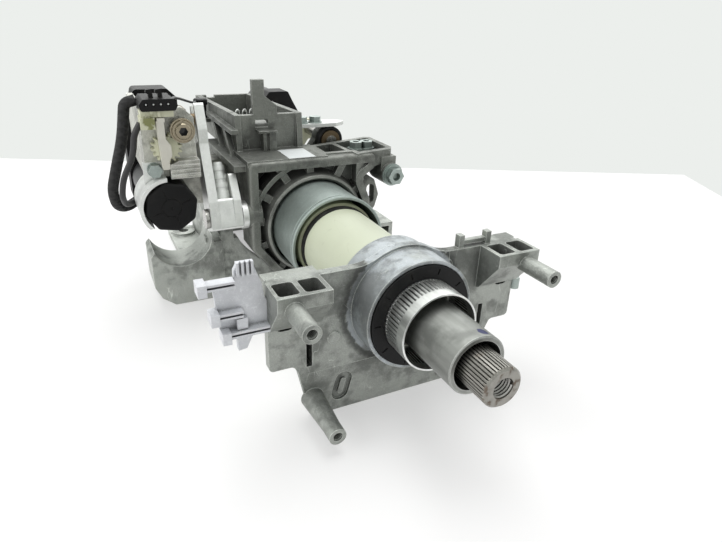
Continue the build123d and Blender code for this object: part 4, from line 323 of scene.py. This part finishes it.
def casting(name, base, grain=0.0006, corner_shade=0.75, boss=False):
    """As-cast metal: fine grain, cloudy stains, scuffs, edges lightened by wear and as a painted highlight,
    painted shade in corners; the boss is cooler.
    """
    shader = Shader(name)
    cloud = shader.noise(0.022, 5.0)
    speckle = shader.noise(grain, 2.0)
    stain = (shader.noise(0.028, 6.0) * 0.7 + shader.noise(0.006, 4.0) * 0.3).ramp(0.47, 0.6) * 0.6
    scuff = shader.scratches(0.006, shader.stretched(1, 1, 0.35)) * shader.noise(0.02, 3.0).ramp(0.5, 0.7)
    worn_and_lit = shader.edges(sizes().edge) * shader.noise(0.004, 3.0).ramp(0.1, 0.45)
    # painted shade: darker deep in corners and pockets, where little light reaches
    shade_and_grime = shader.hollows(0.014) * corner_shade
    if boss:
        ring = shader.radial() + shader.noise(0.004, 4.0) * 0.006
        shade_and_grime = shade_and_grime.highest(ring.ramp(*GRIME_OUTSIDE) * ring.ramp(*GRIME_INSIDE) * 0.75)
    pale = shade(base, 1.9, 0.08)
    tone = shader.mix(cloud.ramp(0.3, 0.7) * 0.45, shade(base, 1.15), shade(base, 0.7))
    if boss:
        turned = shader.radial().ramp(*BOSS_RIM)
        tone = shader.mix(turned * (0.85 - cloud.ramp(0.55, 0.75) * 0.5), tone, colours().boss)
    tone = shader.mix(speckle.ramp(0.45, 0.75) * 0.25, tone, pale)
    tone = shader.mix(stain, tone, shade(base, 0.36))
    # painted shade in corners and pockets, with the boss's grime ring, darkens the tone
    tone = shader.mix(shade_and_grime, tone, shade(base, 0.16))
    # edges lightened by wear and as a painted highlight, and scuffs lightened
    tone = shader.mix((worn_and_lit * 0.95).highest(scuff * 0.6), tone, pale)
    roughness = 0.36 + cloud * 0.2 - worn_and_lit * 0.12 + shade_and_grime * 0.25 + stain * 0.2
    metallic = 0.82 - shade_and_grime * 0.5 - stain * 0.25
    height = speckle + shader.noise(0.0025, 2.0) * 1.5
    return shader.surface(tone, metallic, roughness, height, 0.00022, sizes().edge)


def plated(name, base, roughness=0.3, along=(1.0, 1.0, 1.0), stain=0.3, shaded_groove=0.004, metallic=0.92):
    """Plated sheet or bolts: cloudy plate, fine scratches, a few stains, edges lightened by wear and as a
    painted highlight, and painted shade in grooves.
    """
    shader = Shader(name)
    cloud = shader.noise(0.009, 4.0)
    blotch = shader.noise(0.0025, 3.0)
    scratch = shader.scratches(0.004, shader.stretched(*along))
    scratch = scratch.highest(shader.scratches(0.0023, shader.stretched(1, 0.3, 1.6)))
    stained = shader.noise(0.014, 5.0).ramp(0.55, 0.75) * stain
    worn_and_lit = shader.edges(sizes().fine_edge)
    bright = shade(base, 1.3, 0.03)
    tone = shader.mix(cloud.ramp(0.35, 0.65) * 0.4, base, shade(base, 0.78))
    tone = shader.mix(blotch.ramp(0.5, 0.7) * 0.2, tone, bright)
    tone = shader.mix(stained, tone, shade(base, 0.45))
    # scratches lightened, and edges lightened by wear and as a painted highlight
    tone = shader.mix(scratch * 0.35 + worn_and_lit * 0.7, tone, bright)
    # painted shade: nearly black deep in grooves and corners
    tone = shader.mix(shader.hollows(shaded_groove) * 0.8, tone, shade(base, 0.06))
    rough = roughness + cloud * 0.18 + stained * 0.3
    height = scratch * -0.4 + blotch * 0.3
    return shader.surface(tone, metallic, rough, height, 0.00005, sizes().fine_edge)


def machined(name, base, roughness=0.28, turned=True, shaded_groove=0.006, socket=False):
    """Turned or ground metal: fine rings, dull spots, painted shade in grooves and, in the hub, painted shade
    filling the socket.
    """
    shader = Shader(name)
    rings = shader.noise(0.006, 3.0, shader.stretched(1, 22, 1) if turned else None)
    spots = shader.noise(0.004, 5.0).ramp(0.58, 0.74)
    worn_and_lit = shader.edges(sizes().fine_edge)
    tone = shader.mix(rings.ramp(0.3, 0.7) * 0.3, base, shade(base, 0.7))
    tone = shader.mix(spots * 0.4, tone, shade(base, 0.4))
    # painted shade: nearly black deep in grooves
    tone = shader.mix(shader.hollows(shaded_groove) * 0.85, tone, shade(base, 0.12))
    tone = shader.mix(worn_and_lit * 0.5, tone, shade(base, 1.5))
    metallic = 0.95
    if socket:
        # painted shade: the hub's socket is painted near black and not metallic inside
        across = shader.distance(HUB_X, 0, HUB_Z, shader.stretched(1, 0, 1))
        inside = across.ramp(*SHADED_SOCKET_WALL) * shader.axis("Y").ramp(*SHADED_SOCKET_DEPTH)
        tone = shader.mix(inside * 0.95, tone, (0.004, 0.004, 0.004))
        metallic = 0.95 - inside * 0.95
    rough = roughness + rings * 0.1 + spots * 0.25
    return shader.surface(tone, metallic, rough, rings + spots * 0.4, 0.00006, sizes().fine_edge)


def moulded(name, base, roughness=0.42, grain=0.0005, dust=0.25, shine=0.5):
    """Moulded plastic: fine grain, rubbed edges and dust in its corners."""
    shader = Shader(name)
    speckle = shader.noise(grain, 2.0)
    cloud = shader.noise(0.012, 4.0)
    rubbed = shader.edges(sizes().fine_edge) * 0.35
    dusty = (shader.hollows(0.008) * 0.6 + cloud.ramp(0.5, 0.75) * 0.5) * dust
    tone = shader.mix(cloud.ramp(0.3, 0.7) * 0.25, base, shade(base, 0.85))
    tone = shader.mix(dusty, tone, colour(150, 146, 138))
    tone = shader.mix(rubbed, tone, shade(base, 1.25, 0.05))
    rough = roughness + cloud * 0.15 + dusty * 0.3
    return shader.surface(tone, 0.0, rough, speckle + cloud * 0.6, 0.00006, sizes().fine_edge,
                          **{"Specular IOR Level": shine})


def coated_tube(name, base, scuffs=0.35):
    """Cream coating: glossy, slightly uneven, with scuffs along the slide and faint yellow patches."""
    shader = Shader(name)
    cloud = shader.noise(0.02, 4.0)
    patches = shader.noise(0.05, 3.0).ramp(0.45, 0.75)
    streaks = shader.scratches(0.01, shader.stretched(2.0, 0.25, 2.0)) * shader.noise(0.03, 2.0).ramp(0.5, 0.7)
    grime = shader.noise(0.006, 5.0).ramp(0.62, 0.78) * 0.25
    yellowed = tuple(value * share for value, share in zip(base, (0.98, 0.95, 0.82)))
    tone = shader.mix(patches * 0.5, base, yellowed)
    tone = shader.mix(cloud.ramp(0.4, 0.7) * 0.15, tone, shade(base, 0.8))
    tone = shader.mix(grime + streaks * scuffs, tone, colour(150, 148, 128))
    rough = 0.32 + cloud * 0.2 + streaks * 0.25
    return shader.surface(tone, 0.0, rough, cloud + streaks * -0.4, 0.00008, sizes().fine_edge)


def fluted_steel(name, base, count, span, rust=0.0):
    """Bright steel with grooves round the shaft's axis over a span of its length, the grooves painted dark as
    shade.
    """
    shader = Shader(name)
    depth = shader.axis("Y")
    front, back = span
    fluted = depth.ramp(front, front + FLUTE_RUNOUT) * depth.ramp(back, back - FLUTE_RUNOUT)
    streaks = shader.noise(0.003, 4.0, shader.stretched(1, 0.15, 1))
    cloud = shader.noise(0.01, 4.0)
    worn_and_lit = shader.edges(sizes().fine_edge)
    shaded_groove = shader.flutes(count) * fluted
    tone = shader.mix(streaks.ramp(0.4, 0.65) * 0.4, base, shade(base, 0.6))
    # painted shade: the grooves are painted nearly black
    tone = shader.mix(shaded_groove * (0.95 - cloud.ramp(0.5, 0.7) * 0.35), tone, shade(base, 0.04))
    at_end = shader.noise(0.0035, 6.0).ramp(0.52, 0.66) * depth.ramp(*END_RUST)
    rusty = at_end.highest(shader.noise(0.008, 6.0).ramp(0.6, 0.75) * 0.6) * rust
    tone = shader.mix(rusty, tone, colours().rust)
    tone = shader.mix(worn_and_lit * 0.6, tone, shade(base, 1.3))
    rough = 0.24 + cloud * 0.14 + rusty * 0.4
    return shader.surface(tone, 0.95 - rusty * 0.6, rough, streaks - shaded_groove * 0.5, 0.00008, sizes().fine_edge)


def phosphated_tube(name):
    """Grey tube round the shaft's end: satin with streaks along it, a bright rim and one paint dab."""
    shader = Shader(name)
    base = colours().grey_tube
    streaks = shader.noise(0.004, 4.0, shader.stretched(1, 0.12, 1))
    cloud = shader.noise(0.014, 5.0)
    worn_and_lit = shader.edges(sizes().edge)
    tone = shader.mix(streaks.ramp(0.35, 0.65) * 0.4, base, shade(base, 0.55))
    tone = shader.mix(cloud.ramp(0.5, 0.72) * 0.55, tone, shade(base, 0.38))
    tone = shader.mix(worn_and_lit * 0.8, tone, colours().bright)
    wobble = shader.noise(0.003, 3.0) * 0.003
    dab = (shader.distance(*PAINT_SPOT) + wobble).ramp(*PAINT_EDGE)
    tone = shader.mix(dab, tone, colours().paint_dab)
    rough = 0.36 + cloud * 0.16
    return shader.surface(tone, 0.92 - dab * 0.9, rough, streaks, 0.00004, sizes().fine_edge)


def rubber(name, base):
    """Black rubber: dull, with fine grain and a grey bloom."""
    shader = Shader(name)
    cloud = shader.noise(0.005, 4.0)
    tone = shader.mix(cloud.ramp(0.45, 0.75) * 0.3, base, colour(92, 92, 90))
    return shader.surface(tone, 0.0, 0.62 + cloud * 0.2, shader.noise(0.0006), 0.00008, sizes().fine_edge)


def braided(name, base):
    """Woven sleeve on a lead: crossed threads that wind up its length."""
    shader = Shader(name)
    height = shader.axis("Z") * 1300.0
    around = (shader.axis("X") + shader.axis("Y")) * 900.0
    weave = shader.maths("SINE", height + around).highest(shader.maths("SINE", height - around))
    tone = shader.mix(weave.ramp(0.1, 0.9) * 0.6, shade(base, 0.5), shade(base, 1.6, 0.01))
    return shader.surface(tone, 0.0, 0.55 + shader.noise(0.004) * 0.2, weave, 0.0002)


def greased(name, base):
    """Cream plastic with a smear of green grease, and painted shade in its hollows."""
    shader = Shader(name)
    cloud = shader.noise(0.006, 4.0)
    smear = (shader.distance(*GREASE_SPOT) + shader.noise(0.003, 3.0) * 0.008).ramp(*GREASE_EDGE)
    tone = shader.mix(cloud.ramp(0.3, 0.7) * 0.3, base, shade(base, 0.82))
    # painted shade: darker in its hollows
    tone = shader.mix(shader.hollows(0.006) * 0.4, tone, shade(base, 0.4))
    tone = shader.mix(smear * 0.9, tone, colours().grease)
    rough = 0.45 + cloud * 0.12 - smear * 0.3
    return shader.surface(tone, 0.0, rough, cloud + smear * 2.0, 0.0002, sizes().fine_edge)


def paper(name, base):
    """Bare label: nearly white, with faint fibres."""
    shader = Shader(name)
    fibres = shader.noise(0.0012, 4.0)
    tone = shader.mix(fibres.ramp(0.4, 0.7) * 0.2, base, shade(base, 0.8))
    return shader.surface(tone, 0.0, 0.5 + fibres * 0.1, fibres, 0.00002)


def start_piece(name):
    """Names the primitive that was just added and goes into edit mode with nothing selected."""
    piece = bpy.context.active_object
    piece.name = name
    piece.data.name = name
    bpy.ops.object.mode_set(mode="EDIT")
    bpy.ops.mesh.select_all(action="DESELECT")
    return piece


def clear_selection():
    """Deselects everything, the solids too."""
    bpy.ops.object.select_all(action="DESELECT")


def finish_piece(piece, body, material, angle=35.0):
    """Leaves edit mode, settles the piece at the origin, and lets it ride on its body."""
    if piece.mode == "EDIT":
        bpy.ops.object.mode_set(mode="OBJECT")
    clear_selection()
    piece.select_set(True)
    bpy.context.view_layer.objects.active = piece
    for modifier in list(piece.modifiers):
        bpy.ops.object.modifier_apply(modifier=modifier.name)
    bpy.ops.object.transform_apply(location=True, rotation=True, scale=True)
    bpy.ops.object.mode_set(mode="EDIT")
    bpy.ops.mesh.select_all(action="SELECT")
    bpy.ops.mesh.remove_doubles(threshold=0.000002)
    bpy.ops.mesh.normals_make_consistent(inside=False)
    bpy.ops.object.mode_set(mode="OBJECT")
    bpy.ops.object.shade_smooth_by_angle(angle=math.radians(angle))
    piece.data.materials.clear()
    piece.data.materials.append(material)
    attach(piece, body)
    clear_selection()


def soften(piece, width):
    """Rounds the edges of a piece, once finish_piece applies it."""
    if piece.mode == "EDIT":
        bpy.ops.object.mode_set(mode="OBJECT")
    bevel = piece.modifiers.new("soft edges", "BEVEL")
    bevel.width = width * MM
    bevel.segments = 2


def copy_piece(first, name, shift, body):
    """A copy of a finished piece, with its own mesh, moved by a shift in mm."""
    clear_selection()
    first.select_set(True)
    bpy.context.view_layer.objects.active = first
    bpy.ops.object.duplicate(linked=False)
    piece = bpy.context.active_object
    piece.name = piece.data.name = name
    piece.location = Vector(shift) * MM
    bpy.ops.object.transform_apply(location=True, rotation=False, scale=False)
    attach(piece, body)
    clear_selection()


def thread(name, radius, depth, pitch, length, start):
    """A thread's helical ridge inside a hole along Y from its start, wound from a three-cornered profile."""
    x, start_y, z = start
    clear_selection()
    bpy.ops.mesh.primitive_circle_add(vertices=3, radius=pitch * 0.45 * MM, fill_type="NOTHING")
    piece = start_piece(name)
    bpy.ops.object.mode_set(mode="OBJECT")
    corners = ((radius + 0.15, -pitch * 0.46), (radius + 0.15, pitch * 0.46), (radius - depth, 0.0))
    for vertex, (out, along) in zip(piece.data.vertices, corners):
        vertex.co = Vector((out * MM, (start_y + along) * MM, 0.0))
    winding = piece.modifiers.new("winding", "SCREW")
    winding.axis = "Y"
    winding.screw_offset = pitch * MM
    winding.iterations = round(length / pitch)
    winding.steps = winding.render_steps = 32
    winding.use_merge_vertices = False
    bpy.ops.object.modifier_apply(modifier=winding.name)
    bpy.ops.object.mode_set(mode="EDIT")
    bpy.ops.mesh.select_all(action="SELECT")
    bpy.ops.transform.translate(value=(x * MM, 0.0, z * MM))
    return piece


class COLUMN_OT_castings(bpy.types.Operator):
    """Finish the castings"""

    bl_idname = "column.castings"
    bl_label = "Castings"

    def execute(self, context):
        dress(casting("cast bracket", colours().casting, boss=True), "front_bracket")
        dress(casting("cast foot", shade(colours().casting, 1.2), corner_shade=0.5), "mounting_bracket")
        dress(casting("cast housing", colours().housing), "main_housing", "rear_plate", "trough_clip")
        dress(casting("light die casting", colours().light_casting, corner_shade=0.35), "drive_carrier")
        return {"FINISHED"}


class COLUMN_OT_sleeves(bpy.types.Operator):
    """Finish the tubes and sleeves"""

    bl_idname = "column.sleeves"
    bl_label = "Tubes and sleeves"

    def execute(self, context):
        dress(plated("zinc sleeve", colours().zinc, 0.38, (0.8, 2.4, 0.8), 0.35),
              "outer_sleeve", "lower_shaft")
        dress(coated_tube("cream coated tube", colours().cream_tube), "inner_tube")
        dress(coated_tube("cream sleeve", colours().cream_sleeve, 0.2), "guide_sleeve")
        dress(phosphated_tube("grey phosphated tube"), "shaft_collar_tube")
        return {"FINISHED"}


class COLUMN_OT_steel(bpy.types.Operator):
    """Finish the shaft, bearing, pins and spindles"""

    bl_idname = "column.steel"
    bl_label = "Bare steel"

    def execute(self, context):
        dress(fluted_steel("spline steel", colours().spline, SPLINE_GROOVES, SPLINE_SPAN, 0.8),
              "steering_shaft")
        ground = machined("ground steel", colours().bearing, 0.22)
        dress(ground, "bearing_inner_race", "bearing_outer_race", "bearing_balls", "shaft_snap_ring",
              "tilt_spindle", "reach_spindle", "lever_pin", "link_pin")
        dress(machined("nickel plate", colours().nickel, 0.15, socket=True), "spindle_hub")
        dress(machined("sintered bronze", colours().bronze, 0.4, turned=False),
              "pivot_bushes", "tilt_nut", "reach_front_bush", "lower_bush")
        dress(machined("phosphated forging", colours().forging, 0.5, turned=False), "joint_yoke")
        return {"FINISHED"}


class COLUMN_OT_bright_pieces(bpy.types.Operator):
    """Finish the zinc plated bolts, the bright ring, the lever and the strap"""

    bl_idname = "column.bright_pieces"
    bl_label = "Bolts, lever and strap"

    def execute(self, context):
        dress(plated("zinc bolts", colours().zinc, 0.3, stain=0.45), "arm_bolts", "side_bolt",
              "side_bolt_washer", "pivot_bolts", "gearbox_screws", "carrier_screw", "cover_plate_bolts",
              "rear_plate_screws", "ear_clip")
        dress(fluted_steel("bright ring steel", colours().bright, RING_FLUTES, FLUTED_SPAN), "fluted_ring")
        dress(plated("tumbled aluminium", colours().bright, 0.3, (1, 1, 0.35), 0.2, metallic=0.75),
              "tilt_lever", "lever_damper", "lever_washer")
        dress(plated("pressed strap", colours().bright, 0.38, metallic=0.6),
              "motor_strap", "reach_cover_plate")
        return {"FINISHED"}


class COLUMN_OT_plastics(bpy.types.Operator):
    """Finish the plastic pieces, the rings and the motor cans"""

    bl_idname = "column.plastics"
    bl_label = "Plastic, rubber and cans"

    def execute(self, context):
        dress(moulded("black plastic", colours().black, dust=0.06, shine=0.25),
              "bearing_retainer", "motor_cap", "tilt_gearbox", "reach_gearbox", "sensor_connector",
              "position_plug", "guide_rings")
        dress(plated("grey plastic", colours().grey_plastic, 0.42, stain=0.25, metallic=0.35),
              "harness_clip_carrier")
        dress(moulded("cream plastic", colours().cream_plastic, 0.46), "sensor_wheel", "reach_nut")
        dress(moulded("clear guide plastic", colours().guide, 0.25), "sensor_guide")
        dress(greased("greased cream plastic", colours().cream_plastic), "sensor_block")
        dress(rubber("black rubber", colours().rubber), "tube_band", "reach_rubber_ring")
        dress(moulded("dark motor can", colours().motor, 0.35, dust=0.1), "tilt_motor", "reach_motor")
        dress(braided("braided sleeve", colours().rubber), "motor_lead")
        dress(moulded("light lead", colours().light_lead, 0.4), "signal_lead")
        return {"FINISHED"}


class COLUMN_OT_threads(bpy.types.Operator):
    """Wind the threads of the wheel bolt hole and the posts"""

    bl_idname = "column.threads"
    bl_label = "Threads"

    def execute(self, context):
        steel = machined("thread steel", colours().bearing, 0.3)
        bolt_thread = thread("wheel_bolt_thread", 5.25, 0.55, 1.5, 21.0, (0.0, 1.2, 0.0))
        finish_piece(bolt_thread, "shaft", steel, 20.0)
        cast = bpy.data.materials["cast bracket"]
        upper_left = thread("upper_left_post_thread", 2.5, 0.35, 1.0, 12.0, FIRST_POST)
        finish_piece(upper_left, "column", cast, 20.0)
        for place, shift in POST_SHIFTS:
            copy_piece(upper_left, f"{place}_post_thread", shift, "column")
        return {"FINISHED"}


class COLUMN_OT_contacts(bpy.types.Operator):
    """Set the connector's pins, the contact loops and the thin lead"""

    bl_idname = "column.contacts"
    bl_label = "Pins, contacts and thin lead"

    def execute(self, context):
        pin_metal = plated("tinned contacts", colours().bright, 0.25)
        clear_selection()
        bpy.ops.mesh.primitive_cylinder_add(vertices=20, radius=0.55 * MM, depth=5 * MM,
                                            location=metres(FIRST_PIN), rotation=ALONG_COLUMN)
        pin = start_piece("connector_pin_0")
        soften(pin, 0.18)
        finish_piece(pin, "housing", pin_metal)
        for number in (1, 2, 3):
            copy_piece(pin, f"connector_pin_{number}", (PIN_SPACING * number, 0.0, 0.0), "housing")
        clear_selection()
        bpy.ops.mesh.primitive_torus_add(
            major_radius=1.6 * MM, minor_radius=0.4 * MM, major_segments=28, minor_segments=10,
            location=metres(FIRST_LOOP), rotation=ALONG_COLUMN)
        loop = start_piece("contact_loop_0")
        bpy.ops.mesh.select_all(action="SELECT")
        bpy.ops.transform.resize(value=(1.0, 1.0, 2.2), center_override=metres(FIRST_LOOP))
        finish_piece(loop, "housing", pin_metal)
        for number in (1, 2):
            copy_piece(loop, f"contact_loop_{number}", (LOOP_SPACING * number, 0.0, 0.0), "housing")
        clear_selection()
        bpy.ops.mesh.primitive_circle_add(vertices=16, radius=0.9 * MM, fill_type="NGON",
                                          location=metres(LEAD_START), rotation=ALONG_COLUMN)
        lead = start_piece("thin_lead")
        bpy.ops.mesh.select_all(action="SELECT")
        bpy.ops.mesh.select_mode(type="FACE")
        for step in LEAD_STEPS:
            bpy.ops.mesh.extrude_region_move(TRANSFORM_OT_translate={"value": metres(step)})
        finish_piece(lead, "housing", moulded("thin lead", colours().light_lead, 0.35))
        return {"FINISHED"}


class COLUMN_OT_label(bpy.types.Operator):
    """Lay the bare label on the deck"""

    bl_idname = "column.label"
    bl_label = "Label"

    def execute(self, context):
        clear_selection()
        bpy.ops.mesh.primitive_cube_add(
            size=1.0, location=metres(LABEL_PLACE),
            scale=(sizes().label_width, sizes().label_length, LABEL_THICKNESS * MM))
        label = start_piece("deck_label")
        soften(label, 0.1)
        finish_piece(label, "housing", paper("bare label", colours().label))
        return {"FINISHED"}


class COLUMN_OT_stage(bpy.types.Operator):
    """Set the table top, the lamps and the camera"""

    bl_idname = "column.stage"
    bl_label = "Stage"

    def execute(self, context):
        add_table()
        for lamp in LAMPS:
            add_lamp(*lamp)
        add_room()
        add_camera()
        return {"FINISHED"}


def seen_directly(shader):
    """1 for rays that show the background itself: from the camera, mirrored or through glass."""
    camera, glossy, through = (shader.node("ShaderNodeLightPath", f"Is {kind} Ray")
                               for kind in ("Camera", "Glossy", "Transmission"))
    return camera.highest(glossy).highest(through)


def add_table():
    """A pale table top with a slightly darker card painted beyond it; it keeps the column's shadow."""
    clear_selection()
    bpy.ops.mesh.primitive_plane_add(size=sizes().floor_size, location=TABLE_PLACE)
    table = bpy.context.active_object
    table.name = "table_top"
    bpy.ops.object.transform_apply(location=True, rotation=True, scale=True)
    shader = Shader("pale table")
    x, y = shader.axis("X"), shader.axis("Y")
    behind, beside = ((x * across + y * along).ramp(reach, reach + FOLD_BLUR)
                      for across, along, reach in CARD_FOLDS)
    card = behind.highest(beside)
    away = shader.distance(0, 200, 0).ramp(*TABLE_FADE)
    shown = seen_directly(shader)
    black, white = (0.0, 0.0, 0.0), (1.0, 1.0, 1.0)
    lit = shader.mix(card.highest(away), shade(colours().floor, TABLE_SHADOW), black)
    own = shader.mix(card, shader.mix(away, (TABLE_GLOW,) * 3, white), colours().wall)
    base = shader.mix(shown, shade(colours().floor, TABLE_BOUNCE), lit)
    glow = shader.mix(shown, black, own)
    table.data.materials.append(shader.surface(
        base, 0.0, 1.0, **{"Emission Color": glow, "Emission Strength": 1.0, "Specular IOR Level": 0.0}))


def add_lamp(name, place, side, power):
    """A soft lamp at a place, turned to the column and itself out of sight."""
    light = bpy.data.lights.new(name, "AREA")
    light.shape = "RECTANGLE"
    light.size, light.size_y = side
    light.energy = power
    lamp = bpy.data.objects.new(name, light)
    lamp.visible_camera = False
    bpy.context.scene.collection.objects.link(lamp)
    lamp.location = place
    lamp.rotation_euler = (Vector(STAGE_MIDDLE) - Vector(place)).to_track_quat("-Z", "Y").to_euler()


def add_room():
    """An even room, which looks like the card where it is seen itself."""
    room = Shader("even room", bpy.data.worlds)
    bpy.context.scene.world = room.block
    even = room.node("ShaderNodeBackground", 0, None, {"Color": (1.0, 1.0, 1.0, 1.0), "Strength": ROOM_LIGHT})
    plain = room.node("ShaderNodeBackground", 0, None, {"Color": (*colours().wall, 1.0), "Strength": 1.0})
    room.close("ShaderNodeOutputWorld",
               room.node("ShaderNodeMixShader", 0, None, {0: seen_directly(room), 1: even, 2: plain}))


def add_camera():
    """The camera at the photograph's place, turned by its bearing, drop and roll in degrees."""
    data = bpy.data.cameras.new("camera")
    data.lens = CAMERA_LENS
    data.sensor_width = 36.0
    data.clip_start = 0.01
    camera = bpy.data.objects.new("camera", data)
    bpy.context.scene.collection.objects.link(camera)
    bearing, drop, roll = (math.radians(angle) for angle in (CAMERA_BEARING, CAMERA_DROP, CAMERA_ROLL))
    turn = (Matrix.Rotation(-bearing, 4, "Z") @ Matrix.Rotation(math.pi / 2 - drop, 4, "X")
            @ Matrix.Rotation(roll, 4, "Z"))
    camera.matrix_world = Matrix.Translation(Vector(CAMERA_PLACE) * MM) @ turn
    bpy.context.scene.camera = camera
    bpy.context.scene.view_settings.view_transform = "Standard"


class COLUMN_PT_panel(bpy.types.Panel):
    """Lists the column's steps in the sidebar"""

    bl_idname = "COLUMN_PT_panel"
    bl_label = "Steering column"
    bl_space_type = "VIEW_3D"
    bl_region_type = "UI"
    bl_category = "Steering column"

    def draw(self, context):
        for step in STEPS:
            self.layout.operator(step.bl_idname)
        for group in (context.scene.column_colours, context.scene.column_sizes):
            for name in group.__annotations__:
                self.layout.prop(group, name)


STEPS = (COLUMN_OT_castings, COLUMN_OT_sleeves, COLUMN_OT_steel, COLUMN_OT_bright_pieces,
         COLUMN_OT_plastics, COLUMN_OT_threads, COLUMN_OT_contacts, COLUMN_OT_label, COLUMN_OT_stage)
CLASSES = (ColumnColours, ColumnSizes, *STEPS, COLUMN_PT_panel)


def register():
    """Registers the classes and hangs the settings on the scene."""
    for item in CLASSES:
        bpy.utils.register_class(item)
    bpy.types.Scene.column_colours = bpy.props.PointerProperty(type=ColumnColours)
    bpy.types.Scene.column_sizes = bpy.props.PointerProperty(type=ColumnSizes)


def unregister():
    """Takes the settings and the classes away again."""
    del bpy.types.Scene.column_sizes
    del bpy.types.Scene.column_colours
    for item in reversed(CLASSES):
        bpy.utils.unregister_class(item)


def main():
    """Registers the classes and runs every step."""
    register()
    for step in STEPS:
        area, name = step.bl_idname.split(".")
        getattr(getattr(bpy.ops, area), name)()


if __name__ == "__main__":
    main()
